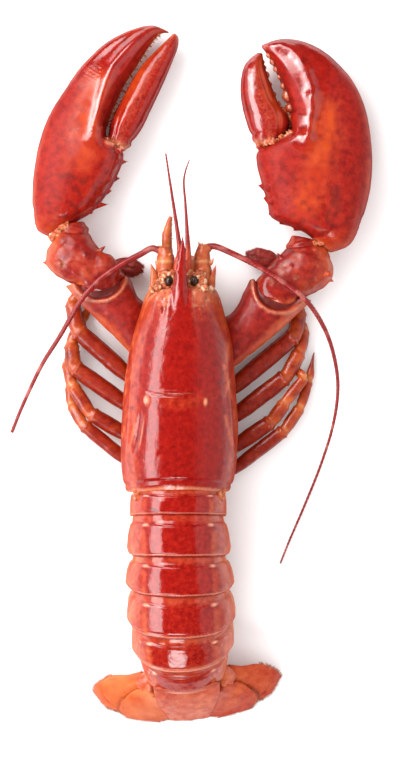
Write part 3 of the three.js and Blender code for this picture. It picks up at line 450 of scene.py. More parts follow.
middle = 0.15 + 0.85 * (1 - ease(np.abs(x + 3), 8, 12))
relief = 0.14 * wobble(p, 9, 1) + 0.05 * wobble(p, 3, 2)
relief -= 0.75 * ridge(off, 0.5) * above * middle
relief += 0.4 * ridge(off - 1.4, 0.9) * ridge(x + 1.5, 6) * above
relief -= 0.2 * ridge(off + 1.8, 1.4) * ridge(x + 1.5, 9) * above
relief += 0.45 * spot(p, *RIGHT_KNOB, 1.3, 0.6) * above
relief -= 0.35 * spot(p, *LEFT_PIT, 1.0, 0.6) * above
dent, along = from_line(p, (-16.2, 33), (-19.4, 14))
belly = np.sin(math.pi * along)
relief -= 1.1 * ridge(dent, 0.5 + 1.2 * belly) * belly * above
relief -= 0.1 * ridge(x + 1.2, 0.4) * (1 - ease(y, 30, 38)) * above
rear_edge = -2.2 * np.abs((x + 0.6) / 22) ** 2
relief -= 0.5 * ridge(y - rear_edge - 3.2, 0.7)
for side in (-1, 1):
    line, along = from_line(p, (0.2 + side * 3.4, 88), (0.2 + side * 6.4, 64))
    relief += 0.4 * ridge(line, 1.1) * (1 - ease(along, 0.4, 1)) * above
    flank, _ = from_line(p, (side * 19.6, 52), (side * 22.4, 12))
    relief += 0.35 * ridge(flank, 0.8) * above
press(carapace, relief)
half_widths = np.interp(y, [row[0] for row in CARAPACE_ROWS],
                        [(row[2] - row[1]) / 2 for row in CARAPACE_ROWS])
flank = ease(np.abs(x + 0.3) / half_widths, 0.55, 1.0)
front = ease(y, 58, 84) * ease(np.abs(x - 0.5), 3, 9)
brow = ease(y, 72, 82) * ease(np.abs(x - 0.5), 3.5, 6)
beak_ridge = sum(ridge(from_line(p, (0.2 + s * 3.2, 92), (0.2 + s * 6.2, 66))[0], 1.2) for s in (-1, 1))
left_pit = spot(p, *LEFT_PIT, 1.1, 0.6) * above
flank *= np.where(x < 0, 0.7 + 0.7 * wobble(p, 3.0, 21), 0.6 * flank ** 2)
# The dent is painted as lit: its rim pale and orange as a painted highlight, and its inside less orange and
# darker as painted shade.
dent_rim = ridge(dent - 1.9, 0.5) * belly
fold = sum(ridge(from_line(p, *ends)[0], 0.7) for ends in RIGHT_FOLDS)
paint(carapace, matt=0.35 * ease(x, 4, 8),
      orange=0.9 * flank * (1 - 0.8 * ridge(dent, 1.5) * belly) + front * (0.35 + 0.5 * wobble(p, 3, 22))
      + 0.5 * (1 - ease(z, 16, 24)) + 0.3 * ridge(off + 3, 3) * above * ridge(x, 14) + 0.3 * brow
      + 0.4 * dent_rim + 0.5 * fold * above,
      # The pale edge of the left flank is a painted reflection; the right flank gets none.
      pale=0.1 * beak_ridge * ease(y, 64, 72) * (1 - ease(y, 96, 100)) + 0.25 * ease(flank, 0.8, 1)
      # The pale spot on the right knob is a painted highlight.
      + 0.7 * left_pit + 0.15 * fold * above + 0.3 * dent_rim + 0.9 * spot(p, *RIGHT_KNOB, 0.7, 0.5) * above
      # Painted highlights: a thin pale line on the front lip of the neck groove, and a pale line along the
      # turned-up rear rim.
      + 0.35 * ridge(off - 0.7, 0.3) * ridge(x + 1.5, 7) + 0.45 * ridge(y - rear_edge, 0.9)
      + brow * (0.25 + 0.6 * ease(wobble(p, 2.2, 3), 0.05, 0.5)),
      # The dark inside the dent is painted shade; the dark flecks on the brow are the tissue's own.
      stain_and_shade=0.3 * brow * ease(wobble(p, 1.7, 4), 0.2, 0.5) + 0.2 * ridge(dent, 0.8) * belly * above)
finished(carapace, body_red, "body_shell", "carapace")

# The face and the eyes
# Pale skin closes the front of the head below the beak and swells up around two stalked eyes. The eyes
# are glossy brown-black beads, which turn dull and dark when the lobster is cooked.
FACE_ROWS = [(0.8, 83.4, 24.6, 10.6, 8), (0.8, 86, 24.6, 9.6, 7.6), (0.8, 89.6, 24.4, 7, 5.4)]
EYES = {"left": (-4.6, 86.2, 33), "right": (5.9, 86.2, 33)}
EYE_RADIUS = 2.6
LID_LUMPS = [  # place beside the eye, radius
    (-2.3, -0.4, -0.6, 0.9), (-1.9, 1.7, -0.8, 1.0), (0.1, 2.7, -1.0, 1.1), (1.9, 1.7, -0.8, 1.0),
    (2.3, -0.4, -0.6, 0.9), (1.5, -2.2, -0.2, 1.0), (-1.5, -2.2, -0.2, 0.9), (0, -3.4, 0.4, 1.2),
    (-3.4, -2.6, -0.4, 1.3), (3.5, -2.4, -0.4, 1.4), (-3.4, 2.6, -2.6, 1.5), (3.4, 2.4, -2.6, 1.5),
    (-3.5, 0.2, -1.6, 1.2), (3.5, 0.4, -1.4, 1.1), (1.6, 3.6, -2.2, 1.2), (-1.4, 3.8, -2.4, 1.3),
]
BROW_LUMPS = [  # distance from the midline, y, z, radius
    (9.8, 83.2, 34.6, 1.6), (12.2, 82.6, 31.6, 1.7), (9.6, 85.6, 31.4, 1.5), (4.2, 81.6, 37.6, 0.9),
]
FACE_GRAIN = 0.3


def bead(centre, radius, squash=1.0, steps=16, sides=24):
    turn = np.linspace(0.06, math.pi - 0.06, steps)[:, None]
    angle = round_angles(sides)[None, :]
    unit = np.stack([np.sin(turn) * np.cos(angle), -np.cos(turn) * np.ones_like(angle),
                     np.sin(turn) * np.sin(angle) * squash], -1)
    return skin(np.array(centre) + radius * unit)


face_skin = shell_finish("face_skin", reds=[(0.20, 0.018, 0.006), (0.38, 0.075, 0.020), (0.50, 0.19, 0.07)],
                         orange=[(0.34, 0.035, 0.010), (0.44, 0.085, 0.022)], pale=(0.62, 0.44, 0.28),
                         roughness=0.3, blotch=1.0, pitting=0.6)
lids = [bead((x + dx, y + dy, z + dz), size) for x, y, z in EYES.values() for dx, dy, dz, size in LID_LUMPS]
brow_lumps = [bead((0.6 + side * x, y, z), size) for side in (-1, 1) for x, y, z, size in BROW_LUMPS]
face = fused("face", [limb(FACE_ROWS, 24, 36), *lids, *brow_lumps], FACE_GRAIN, 2)
p = points_of(face)
press(face, 0.65 * wobble(p, 1.3, 4) + 0.25 * wobble(p, 0.6, 23))
paint(face, orange=0.3 + 0.6 * wobble(p, 2.2, 24), pale=0.7 * ease(wobble(p, 1.5, 5), 0.0, 0.45),
      stain_and_shade=0.5 * ease(wobble(p, 1.1, 6), 0.15, 0.5))
finished(face, face_skin, "face", "face")

eye_black = shell_finish("eye_black",
                         reds=[(0.008, 0.003, 0.002), (0.020, 0.008, 0.005), (0.05, 0.022, 0.012)],
                         orange=[(0.10, 0.04, 0.02), (0.14, 0.07, 0.035)], pale=(0.5, 0.3, 0.2),
                         roughness=0.2, blotch=0.8, pitting=0.3)
for side, centre in EYES.items():
    eye = mesh_of(f"{side}_eye", [bead((0, 0, 0), EYE_RADIUS, 0.9)])
    p = points_of(eye) * (0.62, 0.86, 0.9) + centre + (0, 0, -0.3)
    move_to(eye, p)
    press(eye, 0.12 * wobble(p, 0.9, 7))
    paint(eye, orange=0.7 * (1 - ease(p[:, 2], centre[2] - 1.6, centre[2] + 0.2)))
    finished(eye, eye_black, "eye", f"{side}_eye")

# The feelers
# On each side a long whip and a short thin one. The whip is a chain of fine rings on a stout
# three-jointed base, and it bends back over the arm to the table. A pointed scale lies outside each base.
FEELER_BASES = {
    "left": [(-6, 86.4, 25.6, 3.6, 3.6), (-6, 91, 25.8, 3.9, 4), (-6, 96, 26, 3.6, 3.6),
             (-6.6, 100.4, 26, 2.4, 2.4)],
    "right": [(9.2, 85.6, 25.6, 3.4, 3.6), (9.5, 91, 25.8, 3.6, 4), (9.3, 97, 26, 3.2, 3.4),
              (10.2, 101.4, 26, 2.2, 2.2)],
}
FEELERS = {
    "left": [(-8, 98.7, 26), (-11.8, 100, 26.2), (-16.8, 97.4, 26.4), (-25.2, 92.8, 27.4),
             (-34.4, 86.1, 27.8), (-42, 77.3, 26.8), (-50.4, 63.4, 20), (-58, 51.7, 12.5),
             (-63.8, 40.3, 6.5), (-68, 31.1, 2.8), (-71.4, 22.7, 1.2)],
    "right": [(10.9, 100.4, 26), (14.7, 100.8, 26.4), (21, 98.3, 27), (32.8, 92.4, 28), (43.3, 85.7, 28.4),
              (52.5, 78.5, 27.4), (60.1, 67.6, 21), (64.7, 55.4, 14), (66.6, 41.6, 8), (64.7, 26, 4),
              (59.6, 9.2, 2), (52.9, -7.6, 1.2), (46.6, -22.3, 0.9), (42.4, -32.8, 0.7)],
}
FEELER_RADIUS = 1.45
FEELER_ENDS = {"left": 0.7, "right": 0.35}
FEELER_STEPS = {"long": 700, "small": 300}
FEELER_SIDES = 14
RINGLET_STEPS = 6
FEELER_BASE_GRAIN = 0.35
TUFT_BRISTLES = 150
SMALL_FEELERS = {
    "left": [(-1.4, 88.4, 29.4, 1.7, 1.6), (-0.8, 94, 31, 1.6, 1.5), (-0.1, 99, 32, 1.2, 1.2),
             (-1.3, 108.8, 33, 0.85, 0.85), (-3.4, 122.6, 33.4, 0.65, 0.65), (-5.9, 139.4, 33, 0.35, 0.35)],
    "right": [(2.8, 88.4, 29.4, 1.7, 1.6), (3.2, 94, 31, 1.6, 1.5), (3.4, 99, 32, 1.2, 1.2),
              (2.9, 108.8, 33, 0.8, 0.8), (2.3, 118.4, 33.2, 0.6, 0.6), (1.7, 128.9, 33, 0.45, 0.45),
              (4, 136.9, 32.6, 0.3, 0.3)],
}
SCALES = {  # outer x, y, inner x, y, height of both, rise, drop
    "left": [(-12.8, 83.6, -8.4, 83.8, 27, 1.2, 1.2), (-12.4, 88, -8.8, 88, 27.4, 1, 1),
             (-12.3, 90.6, -10, 90.6, 27.8, 0.8, 0.8), (-12.2, 93.4, -11.9, 93.3, 28.2, 0.3, 0.3)],
    "right": [(14.8, 83.6, 10.4, 83.8, 27, 1.2, 1.2), (14.9, 88, 12.2, 88, 27.4, 1, 1),
              (15, 90, 13.2, 90, 27.8, 0.8, 0.8), (15.1, 92.8, 14.9, 92.8, 28.2, 0.3, 0.3)],
}


def level(rows):
    """Rows of a slab that lies level: outer x, y, inner x, y, height of both edges, rise, drop, crest."""
    return [(r[0], r[1], r[4], r[2], r[3], r[4], r[5], r[6], r[7] if len(r) > 7 else 0) for r in rows]


def slab(rows, steps=40, sides=40, square=2.0):
    """A rounded plate between two edges, with its crest from the outer edge, -1, to the inner one, 1."""
    sampled = flowing(rows, steps)
    outer, inner = sampled[:, :3], sampled[:, 3:6]
    middle = (outer + inner) / 2
    across = (inner - outer) / 2
    reach = np.linalg.norm(across, axis=1, keepdims=True)
    across = across / reach * np.maximum(reach, 0.05)
    along = np.gradient(middle, axis=0)
    up = np.cross(across, along)
    up /= np.linalg.norm(up, axis=1, keepdims=True)
    up *= np.where(up[:, 2:] < 0, -1, 1)
    angle = round_angles(sides)
    c, h = bulge(np.cos(angle), square), bulge(np.sin(angle), square)
    rise, drop, crest = (sampled[:, k][:, None] for k in (6, 7, 8))
    shift = c + crest * (1 - c * c) * np.maximum(h, 0)
    lift = np.where(h > 0, rise, drop) * h
    return skin(middle[:, None] + across[:, None] * shift[..., None] + up[:, None] * lift[..., None])


def places(steps, sides):
    """How far each point of a slab lies along it, 0 to 1, and at what angle round it."""
    lengthwise = np.append(np.repeat(np.arange(steps + 1) / steps, sides), (0, 1))
    return lengthwise, np.append(np.tile(round_angles(sides), steps + 1), (0, 0))


def bristles(roots, tips, radius=0.09):
    """A tuft of hairs, each a thin three-sided thorn from its root to its tip."""
    roots, tips = np.asarray(roots, float), np.asarray(tips, float)
    axis = tips - roots
    side = np.cross(axis, (0.2, 0.3, 1.0))
    side /= np.linalg.norm(side, axis=1, keepdims=True)
    other = np.cross(axis, side)
    other /= np.linalg.norm(other, axis=1, keepdims=True)
    turns = np.arange(3) / 3 * 2 * math.pi
    feet = roots[:, None] + radius * (side[:, None] * np.cos(turns)[None, :, None]
                                      + other[:, None] * np.sin(turns)[None, :, None])
    points = np.concatenate([feet, tips[:, None]], 1).reshape(-1, 3)
    n = np.arange(len(roots))[:, None] * 4
    sides = np.concatenate([np.stack([n[:, 0] + k, n[:, 0] + (k + 1) % 3, n[:, 0] + 3], -1)
                            for k in range(3)])
    return points, sides


chance = np.random.default_rng(7)
feeler_red = shell_finish("feeler_red",
                          reds=[(0.10, 0.002, 0.002), (0.18, 0.005, 0.005), (0.26, 0.014, 0.011)],
                          orange=[(0.36, 0.026, 0.008), (0.44, 0.050, 0.016)], pale=(0.56, 0.20, 0.16),
                          roughness=0.22, blotch=1.4, pitting=0.3)
base_orange = shell_finish("feeler_base_shell",
                           reds=[(0.19, 0.009, 0.004), (0.31, 0.028, 0.008), (0.40, 0.070, 0.017)],
                           orange=[(0.38, 0.070, 0.015), (0.46, 0.13, 0.035)], pale=(0.60, 0.30, 0.14),
                           roughness=0.28, blotch=1.6, pitting=0.5)
for side, outward in (("left", -1), ("right", 1)):
    rows = FEELER_BASES[side]
    joints = [(x, y, z, w * 1.06, h * 1.06) for x, y, z, w, h in rows[1:3]]
    rings = [limb([(x, y - 0.8, z, w, h), (x, y, z, w, h), (x, y + 0.8, z, w * 0.95, h * 0.95)], 6, 24)
             for x, y, z, w, h in joints]
    x, y, z = rows[-1][:3]
    knobs = [bead((x + outward * 1.2, y - 1.4, z), 2.0), bead((x - outward * 2.2, y - 6, z + 2), 1.5)]
    thorns = [spine((x - outward * 2, y - 5, z + 2), (x - outward * 3.2, y - 1.4, z + 4), 1.1),
              spine((x + outward * 2.6, y - 8, z + 1), (x + outward * 4.4, y - 4.6, z + 1.6), 0.9)]
    base = fused(f"{side}_feeler_base", [limb(rows, 30, 28), *rings, *knobs, *thorns], FEELER_BASE_GRAIN, 3)
    p = points_of(base)
    press(base, 0.12 * wobble(p, 2.2, 8))
    paint(base, orange=0.5 + 0.4 * wobble(p, 4, 9), pale=0.45 * ridge(p[:, 1] - 94.5, 0.8))
    finished(base, base_orange, "feeler_base", f"{side}_feeler_base")

    count = TUFT_BRISTLES
    turn = chance.uniform(0, 2 * math.pi, count)
    near = np.array([x, y, z]) + np.stack([2.0 * np.cos(turn), chance.uniform(-2.5, 0.6, count),
                                           2.0 * np.sin(turn)], -1)
    reach = np.stack([np.cos(turn) * 0.9, chance.uniform(0.6, 1.9, count), np.abs(np.sin(turn)) * 1.2], -1)
    tuft = mesh_of(f"{side}_feeler_base_bristles", [bristles(near, near + reach)])
    paint(tuft, orange=1.0, pale=0.2)
    finished(tuft, base_orange, "feeler_base")

    route = np.array(FEELERS[side])
    radii = FEELER_RADIUS + (FEELER_ENDS[side] - FEELER_RADIUS) * np.linspace(0, 1, len(route))
    whip = mesh_of(f"{side}_feeler",
                   [limb(np.column_stack([route, radii, radii]), FEELER_STEPS["long"], FEELER_SIDES)])
    p = points_of(whip)
    order = np.minimum(np.arange(len(p)) // FEELER_SIDES, FEELER_STEPS["long"])
    press(whip, 0.05 * np.sin(order * 2 * math.pi / RINGLET_STEPS))
    paint(whip, orange=0.5 * (1 - ease(order / FEELER_STEPS["long"], 0, 0.05)),
          pale=0.3 * ease(wobble(p, 5, 11), 0.1, 0.6))
    finished(whip, feeler_red, "feeler", f"{side}_feeler")

    thin = mesh_of(f"{side}_small_feeler", [limb(SMALL_FEELERS[side], FEELER_STEPS["small"], FEELER_SIDES)])
    p = points_of(thin)
    press(thin, 0.04 * np.sin(np.arange(len(p)) // FEELER_SIDES * 2 * math.pi / RINGLET_STEPS))
    paint(thin, orange=0.9 * (1 - ease(p[:, 1], 96, 104)))
    finished(thin, feeler_red, "feeler", f"{side}_small_feeler")

    scale = mesh_of(f"{side}_scale", [slab(level(SCALES[side]), 40, 28)])
    p = points_of(scale)
    press(scale, 0.1 * wobble(p, 1.5, 12))
    paint(scale, orange=0.4 + 0.5 * wobble(p, 3, 13))
    finished(scale, base_orange, "feeler_base", f"{side}_scale")

# The mouth legs
# A pair of short stout legs under the face that pass food to the mouth, with combs of bristles on the
# inner side. The left one lies stretched forward and the right one is folded down.
MOUTH_LEGS = {
    "left": [(-4.6, 79.6, 10.4, 2.6, 2.8), (-4.8, 87, 13.6, 2.6, 2.8), (-5.4, 98, 18.4, 2.3, 2.6),
             (-5.4, 106, 20.5, 2, 2.1), (-4, 113.6, 21, 0.7, 0.8)],
    "right": [(4.8, 79.6, 10.4, 2.6, 2.8), (5, 86, 12.6, 2.6, 2.8), (5, 91.6, 12.4, 2.3, 2.4),
              (4.8, 95.4, 9.4, 1.9, 1.9), (4.6, 96.6, 5.4, 0.8, 0.8)],
}
MOUTH_LEG_GRAIN = 0.4
COMB_BRISTLES = 60
for side, inward in (("left", 1), ("right", -1)):
    rows = np.array(MOUTH_LEGS[side])
    knuckles = [bead(rows[2][:3], rows[2][3] * 1.12), bead(rows[3][:3], rows[3][3] * 1.1)]
    leg = fused(f"{side}_mouth_leg", [limb(rows, 60, 24), *knuckles], MOUTH_LEG_GRAIN, 3)
    p = points_of(leg)
    press(leg, 0.15 * wobble(p, 2.0, 14))
    paint(leg, orange=0.55 + 0.4 * wobble(p, 3, 15), pale=0.3 * ease(wobble(p, 2, 16), 0.2, 0.6))
    finished(leg, base_orange, "feeler_base", f"{side}_mouth_leg")
    count = COMB_BRISTLES
    line = flowing(rows, 90)[28:28 + count]
    roots = line[:, :3] + np.stack([inward * line[:, 3] * 0.8, chance.uniform(-0.6, 0.6, count),
                                    line[:, 4] * 0.3], -1)
    tips = roots + np.stack([inward * chance.uniform(0.7, 1.7, count), chance.uniform(0.2, 1, count),
                             chance.uniform(-0.2, 0.6, count)], -1)
    comb = mesh_of(f"{side}_mouth_leg_bristles", [bristles(roots, tips, 0.14)])
    paint(comb, orange=0.8, pale=0.15)
    finished(comb, base_orange, "feeler_base")

# The underside
# The breastplate and the leg hips below the carapace, in paler and softer shell than the back. It is the
# flat that the body rests on.
KEEL_LENGTH = (2, 78)
KEEL_HALF_WIDTHS = (8.5, 14)
HIPS = [  # y on the left and on the right, z, reach, thickness
    (63, 63, 7.6, 16.6, 4.6), (46, 41, 6.4, 19, 3.2), (33.4, 28.6, 6.4, 19, 3.2), (20.8, 16, 6.4, 19, 3.2),
    (10.4, 7, 6.4, 19, 3.2),
]
UNDERSIDE_TOP = 11.3
UNDERSIDE_GRAIN = 0.8

rear, front = KEEL_LENGTH
keel_rows = []
for t in np.linspace(0, 1, 9):
    width = KEEL_HALF_WIDTHS[0] + (KEEL_HALF_WIDTHS[1] - KEEL_HALF_WIDTHS[0]) * 2 * t * (1 - t)
    y = rear + (front - rear) * t
    keel_rows.append((-width, y, 5.6, width, y, 5.6, 5.4, 5.5, 0))
hips = []
for left_y, right_y, z, reach, thick in HIPS:
    for side, y in ((-1, left_y), (1, right_y)):
        hips.append(limb([(side * (reach - 9), y - 2, z - 1.2, thick * 1.3, thick * 1.1),
                          (side * (reach - 4), y - 1, z - 0.6, thick * 1.2, thick),
                          (side * reach, y, z, thick, thick * 0.9)], 14, 24))
underside = fused("underside", [slab(keel_rows, 60, 60, 5.0), *hips], UNDERSIDE_GRAIN, 3)
p = points_of(underside)
seams = sum(ridge(p[:, 1] - row[0] - 5.5, 0.7) for row in HIPS)
press(underside, -0.5 * seams * ridge(p[:, 0], 13) - 0.4 * ridge(p[:, 0], 0.8) + 0.12 * wobble(p, 4, 18))
moved = points_of(underside)
moved[:, 2] = np.clip(moved[:, 2], 0, UNDERSIDE_TOP)
move_to(underside, moved)
belly_shell = shell_finish("belly_shell", reds=[(0.40, 0.06, 0.02), (0.50, 0.13, 0.045), (0.58, 0.22, 0.09)],
                           orange=[(0.46, 0.08, 0.026), (0.54, 0.14, 0.05)], pale=(0.66, 0.36, 0.20),
                           roughness=0.42, blotch=3.5, pitting=0.3)
paint(underside, orange=0.4 + 0.4 * wobble(p, 7, 19), pale=0.35 * ease(wobble(p, 6, 20), 0, 0.5))
finished(underside, belly_shell, "underside", "thorax")

# The tail
# Six rings of shell that slide under one another from the carapace back, each with a smooth band in front, a
# shallow furrow, a domed plate, a turned rim behind and a pointed flap at each side. Soft leaves hang below.
TAIL_RIMS = [  # x, top y, top z, slope, turn, half width, depth
    (-0.6, -0.6, 41, 0, 0, 20, 33),
    (-0.8, -10.5, 42, -3, 0, 20.4, 34.5),
    (-0.4, -28.1, 44.2, 0, 0, 21, 36),
    (0, -44.9, 44.6, 9, 0, 21.4, 34),
    (0.6, -62.6, 41.4, 21, 1, 21.2, 31),
    (1.4, -76.9, 34.6, 38, 3, 19.6, 27),
    (2.6, -86.6, 25, 58, 4.5, 16.2, 20),
]
FLAP_REACH = [0.02, 0.2, 0.2, 0.2, 0.18, 0.1]
FLAP_FLARE = [0, 0.9, 1.5, 1.6, 1.5, 0.4]
LEAF_ROWS = [  # share of the ring's half width and depth, how far back, half width, half thickness
    (0.4, 0.68, -2, 1.6, 0.8), (0.42, 0.77, 1, 2, 0.8), (0.4, 0.82, 6, 3, 0.7), (0.38, 0.84, 11, 1.4, 0.4),
]
TAIL_STEPS = 56
DOME_POINTS = 96
FLAP_POINTS = 20
AROUND_TAIL = DOME_POINTS + 1 + 2 * FLAP_POINTS


def tail_ring(rim, hang, flare, size):
    """One slice of a tail shell: a dome, flaps at both sides and a flat belly between them."""
    x, y, z, slope, turn, half, depth = rim
    slope, turn = math.radians(slope), math.radians(turn)
    dome = 0.55 * depth
    angle = math.pi * (np.arange(DOME_POINTS + 1) / DOME_POINTS - 0.5)
    across = (half + flare * np.abs(np.sin(angle)) ** 6) * bulge(np.sin(angle), 2.1) * size
    down = dome * (1 - size * bulge(np.cos(angle), 2.1))
    tip = dome + (0.22 + hang) * depth
    corners = np.array([((half + flare) * size, dome), ((half + flare) * size, tip * 0.9),
                        (0.97 * (half + flare) * size, tip), (0.86 * half * size, tip * 0.99),
                        (0.8 * half * size, 0.76 * depth), (0.45 * half * size, 0.72 * depth)])
    flap = np.array([corners[int(t)] + (corners[min(int(t) + 1, 5)] - corners[int(t)]) * (t % 1)
                     for t in np.arange(1, FLAP_POINTS + 1) / FLAP_POINTS * 5])
    across = np.concatenate([across, flap[:, 0], -flap[::-1, 0]])
    down = np.concatenate([down, flap[:, 1], flap[::-1, 1]])
    return np.stack([x + across * math.cos(turn), y + down * math.sin(slope) + across * math.sin(turn),
                     z - down * math.cos(slope)], -1)


tail_red = shell_finish("tail_shell",
                        reds=[(0.12, 0.0014, 0.001), (0.22, 0.003, 0.002), (0.31, 0.012, 0.005)],
                        orange=[(0.38, 0.040, 0.014), (0.48, 0.10, 0.040)], pale=(0.64, 0.27, 0.17),
                        roughness=0.1, blotch=2.0, pitting=0.18)
leaf_skin = shell_finish("leaf_skin", reds=[(0.38, 0.045, 0.02), (0.48, 0.10, 0.04), (0.56, 0.18, 0.09)],
                         orange=[(0.46, 0.07, 0.028), (0.54, 0.13, 0.055)], pale=(0.66, 0.36, 0.24),
                         roughness=0.45, blotch=2.5, pitting=0.3)
for number in range(1, 7):
    fore, aft = np.array(TAIL_RIMS[number - 1], float), np.array(TAIL_RIMS[number], float)
    length = math.hypot(aft[1] - fore[1], aft[2] - fore[2])
    t = np.linspace(0.15 / length, 1 + 0.5 / length, TAIL_STEPS + 1)
    size = np.interp(t, (0, 0.18, 0.26, 0.5, 0.8, 0.97, 1), (0.945, 0.952, 0.985, 1, 1, 0.997, 0.985))
    hang = np.interp(t, (0, 0.18, 0.26, 0.5, 0.8, 1), (0, 0.45, 0.7, 1, 0.85, 0.1)) * FLAP_REACH[number - 1]
    flare = np.interp(t, (0, 0.18, 0.26, 0.5, 0.82, 0.93, 1),
                      (-0.6, -0.2, 0.1, 0.6, 1, 0.5, -0.9)) * FLAP_FLARE[number - 1]
    soften = np.array([0.25, 0.5, 0.25])
    size[1:-1], hang[1:-1] = (np.convolve(v, soften, "same")[1:-1] for v in (size, hang))
    rings = np.array([tail_ring(fore + (aft - fore) * u, h, f, s)
                      for u, h, f, s in zip(t, hang, flare, size)])
    plate = mesh_of(f"tail_shell_{number}", [skin(blunt_ends(rings, 0.35))])
    p = points_of(plate)
    rows_made = (len(p) - 2) // AROUND_TAIL
    lengthwise = np.append(np.repeat(np.concatenate([[0, 0], t, [1, 1]]), AROUND_TAIL), (0, 1))
    around = np.append(np.tile(np.arange(AROUND_TAIL), rows_made), (0, 0))
    roll = np.abs(around / DOME_POINTS - 0.5) * 2
    dome = (around <= DOME_POINTS).astype(float)
    furrow = 0.22 + 0.06 * np.cos(roll * 4)
    lift = 0.13 * wobble(p, 6, 30 + number)
    lift -= 0.35 * ridge(lengthwise - furrow, 0.028) * dome
    lift += 0.22 * ridge(lengthwise - 0.965, 0.022) * dome
    lift -= 0.2 * ridge(lengthwise - 0.915, 0.025) * dome
    knob = ridge(roll - 0.46, 0.045) * ridge(lengthwise - 0.26, 0.04)
    lift += 0.3 * knob
    press(plate, lift * (1 - ease(lengthwise, 0.985, 1)))
    stain_and_shade = 0.0
    if number == 1:
        crack, _ = from_line(p, (-12.6, -8.2), (-9.4, -9.4))
        stain_and_shade = 1.2 * ridge(crack, 0.5) * (p[:, 2] > 30) * ease(wobble(p, 0.9, 3), -0.5, 0.2)
    late = ease(number, 3, 6)
    rim = ridge(lengthwise - 0.975, 0.02)
    paint(plate,
          orange=ease(roll, 0.4, 0.9) + 0.5 * ridge(roll - 0.48, 0.05) * ease(lengthwise, 0.3, 0.5)
          + 0.5 * (1 - dome) + 0.35 * ridge(lengthwise - 0.1, 0.12) + late * (0.12 + 0.3 * rim),
          # The pale line along each turned rim is a painted highlight.
          pale=0.4 * rim + 1.0 * knob + 0.30 * ease(roll, 0.75, 1.0) + 0.25 * (1 - dome)
          + 0.6 * late * ease(wobble(p, 1.8, 41), 0.25, 0.6) * ridge(lengthwise - 0.35, 0.15)
          * ease(roll, 0.3, 0.5) + late * (0.06 + 0.3 * ridge(lengthwise - 0.93, 0.06)),
          stain_and_shade=stain_and_shade)
    finished(plate, tail_red, "tail_shell", f"somite_{number}")
    if number == 6:
        continue
    middle = (fore + aft) / 2
    slope = math.radians(middle[3])
    leaves = []
    for side in (-1, 1):
        rows = []
        for across, down, back, wide, thick in LEAF_ROWS:
            rows.append((middle[0] + side * across * middle[5],
                         middle[1] + down * middle[6] * math.sin(slope) - back * math.cos(slope),
                         middle[2] - down * middle[6] * math.cos(slope) - back * math.sin(slope),
                         wide, thick))
        leaves.append(limb(rows, 24, 16))
    swimmerets = mesh_of(f"swimmerets_{number}", leaves)
    p = points_of(swimmerets)
    paint(swimmerets, orange=0.4 + 0.4 * wobble(p, 4, 40), pale=0.2)
    finished(swimmerets, leaf_skin, "tail_shell")

# The tail fan
# A blunt middle plate and two broad blades on each side, fanned out over the table. Each blade is thin
# shell with a low midrib, fringed with bristles, and the inner blades lie over the outer ones.
FAN_AT = (3, -86)
FAN_TURN = math.radians(4.5)
FAN_PLATES = {  # outer x, y, z, inner x, y, z, thickness, each from the hinge line back
    "telson": [(-14, 3.4, 25, 14, 3.4, 25, 2), (-13, -3, 17, 13, -3, 17, 1.7),
               (-11.2, -7.4, 9.6, 11.2, -7.4, 9.6, 1.4), (-9.2, -10.6, 3.6, 9.2, -10.6, 3.6, 1),
               (-7.8, -12.2, 1.4, 7.8, -12.2, 1.4, 0.8), (-5.4, -12.7, 0.9, 5.4, -12.7, 0.9, 0.5)],
    "inner_blade": [(15.2, 2, 18.6, 11.6, -1.2, 17.8, 1.6), (21.6, 2.2, 14.4, 10.9, -5, 11.4, 1.7),
                    (26.8, -1.6, 10, 9.9, -8.6, 6, 1.4), (29.2, -6, 4.6, 8.9, -11.4, 2.2, 1.1),
                    (26, -10, 1.2, 13, -12.6, 1, 0.6)],
    "outer_blade": [(18.4, 10, 16.6, 16.6, 3.4, 14.8, 1.6), (24, 8.8, 15, 20.8, 0.6, 10.2, 1.7),
                    (31, 8.9, 12, 25.2, -3.2, 6, 1.5), (37.6, 5.6, 7.4, 29.6, -6.6, 2, 1.2),
                    (39.6, 2.4, 3.6, 35, -4.4, 1.2, 0.6)],
}
FAN_STUB = [(12.4, 8, 17.6, 4, 3.4), (16.2, 5.6, 16.4, 4.4, 3.4), (19.4, 3.6, 14.6, 3.6, 2.4)]
FAN_STUB_GRAIN = 0.35
PLATE_STEPS, PLATE_SIDES = 70, 72
FRINGES = {  # where the bristles start, 0 to 1 from the hinge back, and how many
    "telson": (0.55, 500),
    "inner_blade": (0.5, 600),
    "outer_blade": (0.5, 600),
}
FRINGE_LENGTH = 1.6
OUTLINE_STEPS = 60


def on_fan(side, x, y, z):
    return (FAN_AT[0] + side * x * math.cos(FAN_TURN) - y * math.sin(FAN_TURN),
            FAN_AT[1] + side * x * math.sin(FAN_TURN) + y * math.cos(FAN_TURN), z)


def fringe(rows, start, count, length):
    """Roots and tips of the bristles round the free edge of a plate, from part of the way down one side."""
    line = flowing(rows, OUTLINE_STEPS)
    first = int(start * OUTLINE_STEPS)
    outline = np.vstack([line[first:, :3], line[first:, 3:6][::-1]])
    steps = np.linalg.norm(np.diff(outline, axis=0), axis=1)
    at = np.sort(chance.uniform(0, steps.sum(), count))
    run = np.append(0, np.cumsum(steps))
    roots = np.stack([np.interp(at, run, outline[:, k]) for k in range(3)], -1)
    middle = line[int(0.7 * OUTLINE_STEPS), :6].reshape(2, 3).mean(0)
    away = roots - middle
    away[:, 2] = -0.2 * np.abs(away[:, 0])
    away /= np.linalg.norm(away, axis=1, keepdims=True)
    away += chance.normal(0, 0.16, away.shape)
    away[:, 2] = np.minimum(away[:, 2], 0.05)
    tips = roots + away * chance.uniform(0.5, 1.0, (count, 1)) * length
    roots -= away * 0.7
    roots[:, 2], tips[:, 2] = np.maximum(roots[:, 2], 0.35), np.maximum(tips[:, 2], 0.15)
    return roots, tips


